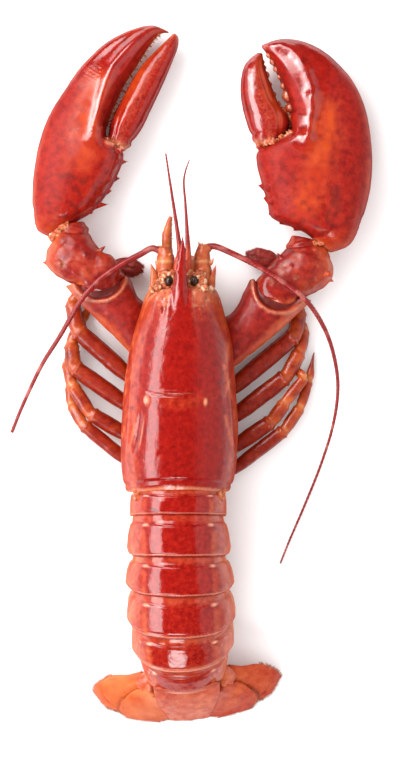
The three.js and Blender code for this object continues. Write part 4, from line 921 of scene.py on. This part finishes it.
fan_orange = shell_finish("fan_shell",
                          reds=[(0.22, 0.010, 0.004), (0.34, 0.024, 0.008), (0.42, 0.050, 0.016)],
                          orange=[(0.44, 0.075, 0.015), (0.54, 0.125, 0.032)], pale=(0.62, 0.22, 0.14),
                          roughness=0.27, blotch=3.0, pitting=0.3)
plates = [("telson", 1, "telson")]
plates += [(f"{name}_{kind}", side, kind) for side, name in ((-1, "left"), (1, "right"))
           for kind in ("inner_blade", "outer_blade")]
for name, side, kind in plates:
    rows = [(*on_fan(side, *row[:3]), *on_fan(side, *row[3:6]), row[6], row[6] * 0.6, 0)
            for row in FAN_PLATES[kind]]
    plate = mesh_of(name, [slab(rows, PLATE_STEPS, PLATE_SIDES, 2.6)])
    p = points_of(plate)
    lengthwise, turned = places(PLATE_STEPS, PLATE_SIDES)
    c, top = np.cos(turned), np.sin(turned) > 0
    if kind == "telson":
        lift = 0.16 * np.cos(c * 7) * ease(lengthwise, 0.1, 0.4) + 0.25 * ridge(lengthwise - 0.12, 0.05)
        orange = 0.3 + 0.4 * wobble(p, 4, 55)
        pale = 0.1 + 0.25 * ease(lengthwise, 0.25, 0.8) + 0.3 * wobble(p, 2.5, 56)
    else:
        midrib = ridge(c + 0.05, 0.12) * (1 - ease(lengthwise, 0.5, 0.85))
        rays = 0.06 * np.cos(c * 30) * ease(lengthwise, 0.35, 0.7)
        lift = 0.4 * midrib + rays - 0.12 * ridge(np.abs(c) - 0.8, 0.06)
        if kind == "outer_blade":
            lift -= 0.35 * ridge(lengthwise - 0.72 - 0.05 * np.cos(c * 3), 0.02) * top
        orange = (0.95 if side < 0 else 0.3) - 0.3 * ease(lengthwise, 0.6, 1) + 0.3 * wobble(p, 5, 57)
        pale = (0.2 if side < 0 else 0.05) * ease(lengthwise, 0.65, 1.0)
    press(plate, lift * top + 0.08 * wobble(p, 3, 50))
    paint(plate, matt=0.6, orange=orange, pale=pale, stain_and_shade=0.3 * ridge(lengthwise - 0.02, 0.03))
    finished(plate, fan_orange, "tail_fan", name)
    roots, tips = fringe(rows, *FRINGES[kind], FRINGE_LENGTH)
    hem = mesh_of(f"{name}_bristles", [bristles(roots, tips, 0.13)])
    paint(hem, orange=0.8, pale=0.3)
    finished(hem, fan_orange, "tail_fan")

for side, name in ((-1, "left"), (1, "right")):
    rows = [(*on_fan(side, x, y, z), width, height) for x, y, z, width, height in FAN_STUB]
    knobs = [bead(on_fan(side, 15.4, 2.6, 19), 1.7, 0.8), bead(on_fan(side, 18.4, 6.2, 17.2), 1.9, 0.8)]
    stub = fused(f"{name}_fan_stub", [limb(rows, 30, 26), *knobs], FAN_STUB_GRAIN, 3)
    p = points_of(stub)
    press(stub, 0.18 * wobble(p, 2.2, 52))
    paint(stub, orange=0.5 + 0.3 * wobble(p, 3, 53), pale=0.1 + 0.5 * wobble(p, 2.5, 54))
    finished(stub, fan_orange, "tail_fan", f"{name}_fan_stub")

# The claw arms
# Each arm is a long joint that widens outwards, a knobbly wrist with thorns, and a claw with one fixed
# finger and a hinged thumb. The left claw is the slim cutter, with sharp teeth, and the right is the
# crusher, with blunt ones.
ARMS = {  # outer x, y, inner x, y, height, rise, drop, crest
    "left": {
        "merus": [(-19.3, 54.2, -12.6, 74.3, 15, 5.5, 6), (-26, 61.3, -15.5, 77.7, 15.4, 7, 7.4),
                  (-33.6, 68.9, -17.6, 79.8, 15.8, 8, 8), (-41.2, 76.4, -19.3, 83.6, 16, 8.6, 8.4),
                  (-48.4, 84.6, -21.4, 88.4, 16, 8, 7.6)],
        "carpus": [(-42.7, 84, -31.2, 83.6, 16, 6, 6), (-50.4, 87.8, -22.7, 87.8, 16, 8.4, 8),
                   (-55.6, 92, -27.7, 93.7, 15.6, 9, 8.2), (-56.4, 96.6, -32.8, 98.7, 15, 8.6, 8),
                   (-54.8, 101.2, -36.1, 102.9, 14.4, 7.6, 7.6), (-52.6, 105.4, -38.4, 107.6, 14, 6.4, 6.6),
                   (-50.2, 109.6, -40.4, 111.6, 13.6, 5, 5)],
        "carpus_thorns": [((-55, 94.4, 16), (-58.7, 94.3, 17), 1.8),
                          ((-35.5, 97.6, 19), (-30.4, 101.8, 21), 1.7),
                          ((-40, 96, 22), (-39.4, 98.6, 25.2), 1.3),
                          ((-48, 100, 20), (-48.4, 103, 23), 1.2)],
        "claw": [(-53.5, 104.6, -46.4, 110, 12.6, 4, 4.5, 0), (-60, 107.8, -42, 112.8, 12.4, 8, 8, 0),
                 (-61.7, 113.6, -37.2, 115.8, 12.2, 10.6, 10.6, 0),
                 (-62.3, 120.6, -33, 120.4, 12.2, 11.6, 12.2, 0.05),
                 (-62, 129.4, -28.2, 127.6, 12.2, 12, 12.2, 0.1),
                 (-60.6, 139, -24.4, 136, 12.2, 12, 12.2, 0.15),
                 (-58.6, 147, -24.4, 141.6, 12.2, 11.4, 11.6, 0.3),
                 (-56.3, 153.7, -30.9, 147.6, 12, 10.4, 10.4, 0.5),
                 (-53.3, 160, -30, 154, 11.8, 9.8, 9.4, 0.5),
                 (-49.6, 165.9, -27.6, 160, 11.6, 9.2, 8.6, 0.45),
                 (-42, 176.8, -23.3, 169.3, 11.2, 8, 7.4, 0.4),
                 (-31.5, 186.9, -16.4, 179.8, 10.8, 6.6, 6, 0.3),
                 (-20.2, 193, -11.8, 186.7, 10.4, 5, 4.6, 0.2), (-11.8, 194.5, -8, 190.8, 10, 3.2, 3, 0),
                 (-4.8, 191.9, -4.4, 191.2, 9.8, 0.6, 0.6, 0)],
        "thumb": [(-28.8, 142.2, -23.6, 141.2, 12.4, 3.4, 3.4), (-30.4, 146.8, -20, 145.3, 12.4, 6.4, 6.2),
                  (-29.9, 151.6, -15.7, 151.6, 12.2, 7.4, 7), (-27.4, 157.5, -12.2, 158.8, 12, 7.2, 6.8),
                  (-24, 164.2, -8.8, 165.9, 11.6, 6.8, 6.4), (-20, 171.8, -5.5, 173.5, 11.2, 6, 5.6),
                  (-15.4, 178.3, -2.8, 180.2, 10.8, 5.2, 4.8), (-10.4, 183.5, -1.1, 185.2, 10.4, 4.2, 3.8),
                  (-6.4, 187.3, -0.7, 189, 10, 3, 2.8), (-3.2, 190.6, -2.2, 191.4, 9.8, 0.9, 0.9)],
        "palm_thorns": [((-27.4, 136.2, 14), (-21, 137, 14.6), 2.2),
                        ((-30.6, 128.6, 14), (-24, 130.2, 15), 2.2),
                        ((-34, 122.6, 14), (-27.2, 125.2, 15), 2),
                        ((-37.4, 118.4, 14), (-29.2, 118.9, 15), 2.2),
                        ((-41, 116, 14), (-35.4, 115, 15), 1.9)],
        "hinge": ((-30, 145), (-22, 142.5)),
        "elbow": (-34, 89.4),
        "crest": [(-37, 145.4), (-34.9, 154.1), (-33.2, 162.5), (-30.7, 170.9), (-28.1, 177.2),
                  (-23.1, 183.5), (-18.1, 188.6), (-12.6, 192.8)],
        "glow": [(-41.5, 138), (-40.4, 150), (-38, 162), (-34.5, 171)],
        "polish": [((-26, 184), 7), ((-19, 188.5), 5), ((-37.6, 146), 3)],
        "knuckles": [(-24.4, 141.6, 19.2, 1.8), (-28.6, 143.4, 20.6, 1.5)],
    },
    "right": {
        "merus": [(20.2, 48.3, 17.6, 71, 15, 5.5, 6), (27.7, 54.2, 21, 72.7, 15.4, 7, 7.4),
                  (37, 61.7, 24.4, 76.9, 15.8, 8, 8), (46.2, 69.7, 26.9, 82.3, 16, 8.6, 8.4),
                  (55.4, 78.3, 29.4, 87.4, 16, 8, 7.6)],
        "carpus": [(47, 77, 35.4, 79, 16, 6, 6), (54, 80.4, 31.8, 85.3, 16, 8.6, 8),
                   (62.4, 85.6, 35.7, 91.1, 16, 9.4, 8.4), (64.6, 91.1, 40.7, 95.8, 15.6, 9.2, 8.4),
                   (63.6, 95.6, 43.7, 99.1, 15, 8.2, 8), (62.2, 99.2, 45.4, 102.4, 14.6, 7, 7),
                   (59.4, 103, 47, 105.8, 14.4, 5.4, 5.4)],
        "carpus_thorns": [((59.6, 88, 17), (66, 85.8, 18), 2.1), ((44.4, 94, 19.4), (40.4, 98.4, 21.4), 1.8),
                          ((47, 91, 22.6), (46.4, 94, 26), 1.4), ((56, 94, 21), (57, 97.2, 24), 1.3)],
        "claw": [(63.4, 98.6, 56.4, 103.6, 14.4, 4.6, 5, 0), (70.6, 101.4, 52.6, 106.8, 14.4, 9, 9.4, 0),
                 (74.3, 106.3, 46.4, 109.4, 14.4, 12, 12.4, 0),
                 (77.3, 114.2, 38.4, 113.4, 14.4, 13.6, 14.2, 0),
                 (79.4, 122.2, 36.6, 119.6, 14.4, 14.2, 14.4, 0),
                 (80.6, 130.6, 34.1, 127.9, 14.4, 14.4, 14.4, 0.05),
                 (80.8, 139.4, 32.1, 136.1, 14.4, 14, 14.2, 0.1),
                 (80, 149.1, 33.6, 142.2, 14.2, 13.2, 13.6, 0.2),
                 (78.8, 156.2, 44.6, 148.4, 14, 12.2, 12.4, 0.35),
                 (76.6, 163, 46.2, 155, 13.8, 11.4, 11.4, 0.45),
                 (72.7, 170.5, 44.7, 162.3, 13.4, 10.4, 10.2, 0.45),
                 (67.6, 177, 42.6, 169.3, 13, 9.2, 8.8, 0.4),
                 (61.3, 182.9, 40.1, 174.9, 12.4, 7.8, 7.4, 0.3),
                 (52.9, 187.3, 37.8, 179.7, 12, 6.2, 5.8, 0.2),
                 (43.7, 188.6, 35.7, 183.5, 11.6, 4.2, 4, 0.1),
                 (34.6, 186.2, 34.2, 185.2, 11.2, 0.7, 0.7, 0)],
        "thumb": [(33.6, 141.4, 41.2, 143.2, 14, 4, 4), (30.2, 147.4, 45.4, 149.3, 14, 8, 7.8),
                  (27.5, 154.6, 46, 155, 13.8, 9, 8.8), (25.8, 162.1, 41.8, 160.9, 13.4, 9, 8.6),
                  (25.5, 170.1, 38.2, 169.3, 13, 8, 7.6), (26.7, 176.4, 35.8, 176.4, 12.4, 6.6, 6.2),
                  (29.4, 180.4, 35, 180.4, 12, 4.6, 4.4), (32.6, 182.6, 34.8, 182.4, 11.6, 1.8, 1.8)],
        "palm_thorns": [((37.6, 124.8, 16), (31.6, 127.4, 17), 2.4), ((39, 119.4, 16), (34, 122, 17), 2.3),
                        ((41.6, 114, 16), (36.2, 114.8, 17), 2.2), ((46, 111.4, 16), (41.2, 110.4, 17), 2),
                        ((51.4, 109.4, 16), (46.4, 107.2, 17), 1.8)],
        "hinge": ((31, 144), (45, 149)),
        "elbow": (42, 84.6),
        "crest": [(53, 146.4), (55.8, 158.3), (55.2, 166.7), (53.2, 174), (50, 180), (46.6, 183.6),
                  (42, 185.6), (36.6, 186)],
        "glow": [(61.5, 158), (61.5, 148), (60, 140), (56, 128), (53, 120)],
        "polish": [((47, 183), 6.5), ((52.5, 180), 4.5), ((53.4, 164), 4.5), ((51.6, 146.4), 5)],
        "knuckles": [(41.4, 144, 21, 2.0), (33.4, 142.6, 20.4, 1.8)],
    },
}
TEETH = {  # first row, last row, how many, radius, reach, which edge
    "left": {"claw": (8, 13, 17, 1.3, 1.1, 1), "thumb": (2, 7, 20, 0.9, 0.9, -1)},
    "right": {"claw": (9, 14, 8, 2.3, 0.5, 1), "thumb": (2, 6, 8, 1.9, 0.5, 1)},
}
SEARCH_STEPS = 120
ARM_GRAIN = 0.5
THUMB_GRAIN = 0.45
ELBOW_WALL = (9.9, 10.9)
ELBOW_RIM = 11.6
ELBOW_DEPTH = 1.4
WRIST_LOBE = {"height": 20.2, "radius": 9.2, "squash": 0.5}
WRIST_LUMPS = [  # x, y and radius on the left wrist, and moved over to the right one
    (-44, 90, 1.5), (-36.6, 91.6, 1.4), (-50.4, 93.6, 1.3), (-44.6, 103.6, 1.1), (-40.6, 101, 1.0),
]
CRUSHER_KNOBS = ((55.4, 163), (54, 145.6))
CLAW_HAIRS = 241


def teeth_along(rows, side, first, last, count, radius, reach, towards):
    """Teeth on the biting edge of a finger: sharp on the cutter, round on the crusher."""
    made = []
    for k, row in enumerate(flowing(rows[first:last + 1], count)[:count]):
        outer, inner, height = row[0:2], row[2:4], row[4]
        bite, far = (inner, outer) if towards > 0 else (outer, inner)
        out = (bite - far) / np.linalg.norm(bite - far)
        size = radius * (1 - 0.55 * k / count) * chance.uniform(0.65, 1.45)
        foot, tip = bite - 1.2 * out, bite + reach * size * out
        if side == "left":
            made.append(spine((*foot, height + 0.4), (*tip, height + 0.9), size))
        else:
            made.append(bead((*(bite - 0.5 * size * out), height + 1.2), size, 0.9, 12, 18))
    return made


def along_path(points, path):
    """Distance in plan from each point to the nearest stretch of a path."""
    return np.min([from_line(points, a, b)[0] for a, b in zip(path, path[1:])], axis=0)


def along_and_across(points, rows):
    """How far each point lies along the rows, 0 to 1, and from their outer edge, -1, to the inner one, 1."""
    line = flowing(rows, SEARCH_STEPS)
    outer, inner = line[:, 0:2], line[:, 2:4]
    middle, reach = (outer + inner) / 2, (inner - outer) / 2
    nearest = np.argmin(((points[:, None, :2] - middle[None]) ** 2).sum(-1), axis=1)
    across = reach[nearest]
    c = ((points[:, :2] - middle[nearest]) * across).sum(1) / np.maximum((across ** 2).sum(1), 0.1)
    return nearest / SEARCH_STEPS, np.clip(c, -1, 1)


claw_red = shell_finish("claw_shell",
                        reds=[(0.12, 0.002, 0.0015), (0.225, 0.005, 0.003), (0.30, 0.012, 0.005)],
                        orange=[(0.31, 0.020, 0.004), (0.39, 0.044, 0.007)], pale=(0.66, 0.28, 0.16),
                        roughness=0.15, blotch=3.2)
arm_red = shell_finish("arm_shell",
                       reds=[(0.09, 0.002, 0.0015), (0.185, 0.005, 0.003), (0.27, 0.013, 0.006)],
                       orange=[(0.36, 0.034, 0.008), (0.46, 0.080, 0.020)], pale=(0.62, 0.28, 0.15),
                       roughness=0.2, blotch=2.8)
tooth_red = shell_finish("tooth_shell",
                         reds=[(0.08, 0.002, 0.002), (0.16, 0.006, 0.004), (0.28, 0.020, 0.012)],
                         orange=[(0.36, 0.05, 0.018), (0.46, 0.13, 0.05)], pale=(0.62, 0.32, 0.22),
                         roughness=0.18, blotch=1.3)
for side, outward in (("left", -1), ("right", 1)):
    arm = ARMS[side]
    edge = np.array(arm["hinge"], float)

    merus = fused(f"{side}_arm_merus", [slab(level(arm["merus"]), 90, 90)], ARM_GRAIN, 3)
    p = points_of(merus)
    t, c = along_and_across(p, arm["merus"])
    upper = ease(p[:, 2], 15, 20)
    from_elbow = np.linalg.norm(p[:, :2] - arm["elbow"], axis=1)
    socket = (1 - ease(from_elbow, *ELBOW_WALL)) * upper
    rim = ridge(from_elbow - ELBOW_RIM, 0.8) * upper * ease(t, 0.5, 0.6)
    lift = (0.25 * wobble(p, 5, 60) + 0.1 * wobble(p, 2, 61)) * (1 - ease(t, 0.975, 1))
    press(merus, lift + 0.5 * rim - ELBOW_DEPTH * socket)
    # The rim round the socket is painted pale and orange as its highlight, and the socket itself is painted
    # dark as shade.
    paint(merus, matt=0.45 * (1 - rim),
          orange=0.95 * (1 - ease(c, -0.95, -0.5)) + 0.4 * (1 - upper) + 0.3 * rim,
          pale=0.3 * rim, stain_and_shade=0.6 * socket)
    finished(merus, arm_red, "arm_shell", f"{side}_arm_merus")

    thorns = [spine(*thorn) for thorn in arm["carpus_thorns"]]
    lumps = []
    for x, y, size in WRIST_LUMPS:
        if side == "right":
            x, y = 15 - x * 0.94, y - 4.4
        lumps.append(bead((x, y, 23.2 - 0.02 * abs(y - 92) ** 2), size, 0.8, 12, 18))
    lobe = bead((*arm["elbow"], WRIST_LOBE["height"]), WRIST_LOBE["radius"], WRIST_LOBE["squash"])
    carpus = fused(f"{side}_arm_carpus", [slab(level(arm["carpus"]), 90, 90, 2.2), lobe, *thorns, *lumps],
                   ARM_GRAIN, 3)
    p = points_of(carpus)
    t, c = along_and_across(p, arm["carpus"])
    upper = ease(p[:, 2], 14, 19)
    lift = 0.6 * wobble(p, 6, 62) + 0.22 * wobble(p, 2.4, 63)
    lift -= 0.5 * ridge(t - 0.86, 0.03)
    lift += 0.3 * ridge(t - 0.92, 0.02)
    press(carpus, lift * (1 - ease(t, 0.96, 1)) * ease(t, 0, 0.06))
    paint(carpus, matt=0.3 * ease(t, 0.1, 0.2),
          orange=0.15 + 0.75 * (1 - ease(c, -0.9, -0.4)) + 0.35 * wobble(p, 7, 64) + 0.3 * (1 - upper),
          pale=0.2 * ease(wobble(p, 4, 65), 0.3, 0.7))
    finished(carpus, arm_red, "arm_shell", f"{side}_arm_carpus")

    thorns = [spine(*thorn) for thorn in arm["palm_thorns"]]
    knuckles = [bead((x, y, z), size) for x, y, z, size in arm["knuckles"]]
    for foot, tip, size in arm["palm_thorns"]:
        knuckles.append(bead((foot[0] - outward * 0.5, foot[1] + 0.8, foot[2] + 5 + outward * 0.8),
                             0.8 * size))
    claw = fused(f"{side}_claw", [slab(level(arm["claw"]), 150, 120, 2.4), *thorns, *knuckles], ARM_GRAIN, 3)
    p = points_of(claw)
    t, c = along_and_across(p, arm["claw"])
    upper = ease(p[:, 2], 12, 17)
    finger = ease(t, 0.5, 0.58)
    crest = along_path(p, arm["crest"])
    socket, _ = from_line(p, *edge)
    lift = 0.3 * wobble(p, 13, 66) + 0.08 * wobble(p, 4, 67)
    lift -= 0.7 * ridge(socket - 2.2, 1.3) * upper
    lift += (1.4 if side == "left" else 1.0) * ridge(crest, 2.4) * ease(t, 0.38, 0.5) * upper
    lift -= 0.8 * ease(c, 0.5, 0.8) * finger * upper
    if side == "left":
        lift -= 1.2 * ridge(c + 0.5, 0.4) * ease(t, 0.64, 0.76) * upper
    else:
        lift += sum(1.1 * spot(p, *knob, 3.6) for knob in CRUSHER_KNOBS) * upper
    lift -= 0.4 * ridge(t - 0.1, 0.02)
    press(claw, lift)
    mottle = 0.5 + 0.35 * wobble(p, 7, 68)
    glow = ridge(along_path(p, arm["glow"]), 5.5) * (0.75 + 0.5 * wobble(p, 2.8, 73))
    polish = sum(spot(p, *place, size) for place, size in arm["polish"])
    polish = np.maximum(polish, ridge(crest, 3) * ease(t, 0.38, 0.5))
    inner_face = ease(c, 0.46, 0.6) * finger
    if side == "left":
        palm_side = ease(-c, -0.3, 0.5)
    else:
        palm_side = np.maximum(ease(-c, -0.1, 0.6), ease(c, -0.2, 0.4) * (1 - finger))
    matt = 0.75 * np.maximum(palm_side, 1.2 * glow)
    matt *= 1 - ease(t, 0.62, 0.75)
    matt *= 1 - ease(polish, 0.1, 0.6)
    paint(claw, gleam=polish * (1 - inner_face), matt=np.maximum(matt, 0.8 * inner_face),
          orange=0.2 * upper * (1 - finger) * mottle + 0.95 * glow * upper + 0.4 * (1 - upper)
          + 0.5 * (1 - ease(t, 0.02, 0.12)) + 0.5 * ridge(c + 0.94, 0.05) * upper,
          pale=0.55 * ridge(socket, 1.2) + 0.22 * (1 - ease(t, 0.0, 0.06)),
          stain_and_shade=0.3 * ridge(c - 0.96, 0.1) * finger
          + 0.4 * ease(wobble(p, 3.2, 69), 0.12, 0.4) * ease(t, 0.06, 0.14) * (1 - ease(t, 0.3, 0.42))
          * ridge(c, 0.75) * upper)
    finished(claw, claw_red, "claw_shell", f"{side}_claw")

    thumb = fused(f"{side}_claw_thumb", [slab(level(arm["thumb"]), 110, 90, 2.4)], THUMB_GRAIN, 3)
    p = points_of(thumb)
    t, c = along_and_across(p, arm["thumb"])
    bite = c if side == "right" else -c
    upper = ease(p[:, 2], 11, 15)
    lift = 0.2 * wobble(p, 10, 69) + 0.07 * wobble(p, 3, 70) - 0.4 * ridge(bite - 0.5, 0.12) * upper
    lift += 0.5 * ridge(t - 0.08, 0.03) - 0.4 * ridge(t - 0.14, 0.03)
    broad = 0 * c
    if side == "right":
        broad = ridge(c + 0.47, 0.4) * ease(t, 0.12, 0.25) * (1 - ease(t, 0.85, 0.98))
    lift -= 0.5 * broad * upper
    press(thumb, lift * (1 - ease(t, 0.97, 1)))
    paint(thumb, gleam=broad, orange=0.8 * ease(t, 0.1, 0.4) * ridge(bite - 0.5, 0.3) + 0.35 * (1 - upper),
          pale=0.5 * ridge(t - 0.04, 0.05) + 0.12 * ridge(c, 0.3), stain_and_shade=0.35 * ridge(bite - 0.95, 0.15))
    finished(thumb, claw_red, "claw_shell", f"{side}_claw_thumb")

    if side == "left":
        count = CLAW_HAIRS
        edge_rows = flowing(arm["claw"][8:14], count - 1)
        roots = edge_rows[:, 2:5] + (-1.2, 0.4, 1.5) + chance.normal(0, 0.5, (count, 3))
        tips = roots + np.stack([chance.uniform(1.2, 2.6, count), chance.uniform(-1.6, 0.2, count),
                                 chance.uniform(0, 0.8, count)], -1)
        hairs = mesh_of("left_claw_bristles", [bristles(roots, tips, 0.1)])
        paint(hairs, orange=0.5, pale=0.8)
        finished(hairs, claw_red, "claw_shell")

    for key in ("claw", "thumb"):
        fangs = mesh_of(f"{side}_{key}_teeth", teeth_along(arm[key], side, *TEETH[side][key]))
        p = points_of(fangs)
        paint(fangs, orange=(0.15 if side == "left" else 0.65) + 0.3 * wobble(p, 3, 71),
              pale=0.35 * ease(wobble(p, 2.5, 72), 0.1, 0.6))
        finished(fangs, tooth_red, "claw_shell")

# The skin at the joints
# Where shells hinge or slide, the soft skin between them bulges out in folds and cooks to a ragged cream
# and orange crust. It shows at the thumbs' hinges, where the claws meet the wrists, and beside the first
# tail ring.
SKIN_FOLDS = {  # slot, ends of the fold, radius of its lumps, how many
    "left_hinge_skin": ("claw_shell", (-31.5, 145.6, 18.6), (-24.6, 142.8, 17.2), 1.3, 11),
    "right_hinge_skin": ("claw_shell", (33.4, 143.4, 18.6), (47, 147.4, 21.6), 1.6, 15),
    "left_wrist_skin": ("claw_shell", (-53.6, 104.8, 17), (-47.6, 110.6, 18.6), 1.5, 11),
    "right_wrist_skin": ("claw_shell", (54.6, 103.2, 19.4), (59.4, 102, 20.2), 1.0, 8),
    "left_tail_skin": ("tail_shell", (-18.8, 0.2, 30.6), (-17.4, -6, 32.2), 1.5, 11),
    "right_tail_skin": ("tail_shell", (17.6, 0.2, 30.6), (16.2, -6, 32.2), 1.5, 11),
}
SKIN_FOLD_GRAIN = 0.3

for name, (slot, start, end, radius, count) in SKIN_FOLDS.items():
    along = np.linspace(0, 1, count)[:, None]
    centres = np.array(start) + (np.array(end) - start) * along + chance.normal(0, 0.35 * radius, (count, 3))
    sizes = radius * chance.uniform(0.55, 1.15, count)
    skin_fold = fused(name, [bead(centre, size, 0.8, 12, 18) for centre, size in zip(centres, sizes)],
                      SKIN_FOLD_GRAIN, 2)
    p = points_of(skin_fold)
    press(skin_fold, 0.8 * wobble(p, 1.0, 90))
    paint(skin_fold, orange=0.5 + 0.7 * wobble(p, 2, 91), pale=0.5 * ease(wobble(p, 1.4, 92), 0.0, 0.5),
          stain_and_shade=0.35 * ease(wobble(p, 1, 93), 0.25, 0.5))
    finished(skin_fold, face_skin, slot)

# The walking legs
# Four jointed legs on each side, folded so that their tips point forward on the table. The front pair
# ends in small hairy pincers, and the joints show as paler collars.
LEGS = {  # hip, knee, end of the wrist, end of the shin, tip
    "left_leg_1": [(-22.4, 47.2, 7.6), (-43.6, 66, 7.8), (-45.6, 78, 4.8), (-29, 93.4, 4.4),
                   (-15.2, 91.8, 6.6)],
    "left_leg_2": [(-22.6, 34.5, 7.6), (-45, 50.4, 8), (-46, 60.4, 5.6), (-41.6, 70.4, 2.6), (-37, 78, 1.8)],
    "left_leg_3": [(-22.8, 21.8, 7.6), (-38, 30.8, 8), (-45.8, 43, 7.2), (-48.2, 52.4, 3.8),
                   (-42.6, 57, 1.8)],
    "left_leg_4": [(-22.8, 11.2, 7.6), (-41.2, 26.2, 7.4), (-46, 34.8, 3.6), (-47, 42.6, 2),
                   (-46.2, 48.6, 1.2)],
    "right_leg_1": [(22.4, 41.8, 7.6), (48.6, 64, 7.8), (50.4, 74.6, 4.8), (41.8, 95, 4.4),
                    (27.4, 97.8, 6.6)],
    "right_leg_2": [(22.6, 29.4, 7.6), (45, 46.6, 7.8), (50.6, 57, 5.6), (52.6, 66.4, 2.8),
                    (46.6, 74.4, 1.8)],
    "right_leg_3": [(22.8, 16.8, 7.6), (38.8, 27.6, 8), (44.4, 35.6, 8.8), (52.6, 46, 7.8), (45, 52.6, 2.2)],
    "right_leg_4": [(22.8, 7.4, 7.4), (44.4, 24, 7), (50.8, 33.6, 5), (54.6, 45, 3.6), (56.6, 56.4, 2)],
}
LEG_HALF_WIDTHS = [3.1, 2.8, 2.4, 1.9, 0.6]
LEG_GIRTHS = [1.2, 1.15, 1.05, 0.92]
PINCER_HALF_WIDTH = 3.8
PINCER_BRISTLES = 700
LEG_GRAIN = 0.48


def from_nearest(points, marks):
    """Distance from each point to the nearest of the marks."""
    return np.min([np.linalg.norm(points - mark, axis=1) for mark in marks], axis=0)


leg_red = shell_finish("leg_shell", reds=[(0.10, 0.003, 0.001), (0.185, 0.008, 0.002), (0.26, 0.018, 0.004)],
                       orange=[(0.33, 0.036, 0.006), (0.43, 0.080, 0.014)], pale=(0.58, 0.26, 0.10),
                       roughness=0.26, blotch=2.4, pitting=0.3)
hair_red = shell_finish("pincer_shell",
                        reds=[(0.10, 0.006, 0.005), (0.20, 0.012, 0.008), (0.30, 0.025, 0.014)],
                        orange=[(0.34, 0.040, 0.018), (0.42, 0.08, 0.03)], pale=(0.5, 0.2, 0.1),
                        roughness=0.5, blotch=1.2, pitting=0.5)
for name, points in LEGS.items():
    points = [np.array(point, float) for point in points]
    pincer = name.endswith("leg_1")
    girth = LEG_GIRTHS[int(name[-1]) - 1]
    shapes, tip_shapes = [], []
    for k, (start, end) in enumerate(zip(points, points[1:])):
        w0, w1 = LEG_HALF_WIDTHS[k] * girth, LEG_HALF_WIDTHS[k + 1] * girth
        step = end - start
        if k == 3 and pincer:
            w = PINCER_HALF_WIDTH
            tip_shapes.append(limb([(*start, 1.8, 1.6), (*(start + 0.3 * step), w, 3),
                                    (*(start + 0.7 * step), w, 2.8), (*end, 0.8, 0.7)], 36, 30))
            continue
        shapes.append(limb([(*(start - 0.04 * step), w0 * 0.8, w0 * 0.62),
                            (*(start + 0.22 * step), w0, w0 * 0.82),
                            (*(start + 0.8 * step), w1 * 1.12, w1 * 0.95),
                            (*(start + 1.03 * step), w1 * 0.85, w1 * 0.7)],
                           36, 24))
        if k < 3:
            way = step / np.linalg.norm(step)
            at = end - 1.6 * way
            shapes.append(limb([(*(at - 0.5 * way), w1 * 1.16, w1 * 1.0), (*at, w1 * 1.24, w1 * 1.06),
                                (*(at + 0.5 * way), w1 * 1.1, w1 * 0.92)], 6, 24))
    leg = fused(name, shapes, LEG_GRAIN, 3)
    p = points_of(leg)
    near_joint = from_nearest(p, points[1:4])
    press(leg, 0.14 * wobble(p, 3.5, 80) - 0.25 * ridge(near_joint - 0.8, 0.6))
    shin = ease(from_nearest(p, points[2:4]), 14, 4)
    paint(leg, orange=0.6 * (1 - ease(near_joint, 1.5, 6)) + 0.3 * wobble(p, 6, 81) + 0.3 * shin,
          pale=0.45 * ridge(near_joint - 1.2, 0.9))
    finished(leg, leg_red, "leg_shell", name)
    if not pincer:
        continue
    start, end = points[3], points[4]
    way = (end - start) / np.linalg.norm(end - start)
    sideways = np.cross(way, (0, 0, 1))
    hand = fused(f"{name}_pincer", tip_shapes, LEG_GRAIN, 2)
    p = points_of(hand)
    offset = (p - start) @ sideways
    reach = (p - start) @ way / np.linalg.norm(end - start)
    press(hand, 0.3 * wobble(p, 1.6, 82) - 0.9 * ridge(offset, 0.35) * ease(reach, 0.4, 0.5))
    # The dark line along the slit between the two fingers is painted shade.
    paint(hand, orange=0.35 * (1 - ease(reach, 0, 0.3)), stain_and_shade=0.3 * ridge(offset, 0.5))
    finished(hand, hair_red, "leg_shell")
    count = PINCER_BRISTLES
    turn, at = chance.uniform(0, 2 * math.pi, count), chance.uniform(0.12, 0.98, count)
    width = np.interp(at, (0, 0.3, 0.7, 1), (1.8, PINCER_HALF_WIDTH, PINCER_HALF_WIDTH, 0.9))
    out = (np.cos(turn)[:, None] * sideways * width[:, None]
           + np.abs(np.sin(turn))[:, None] * np.array((0, 0, 1.0)) * (width * 0.78)[:, None])
    roots = start + (end - start) * at[:, None] + out * 0.92
    lean = out / np.linalg.norm(out, axis=1, keepdims=True) * 0.9 + way * 0.8
    tips = roots + lean * chance.uniform(0.5, 1.2, (count, 1))
    fur = mesh_of(f"{name}_pincer_bristles", [bristles(roots, tips, 0.13)])
    paint(fur, orange=0.15)
    finished(fur, hair_red, "leg_shell")
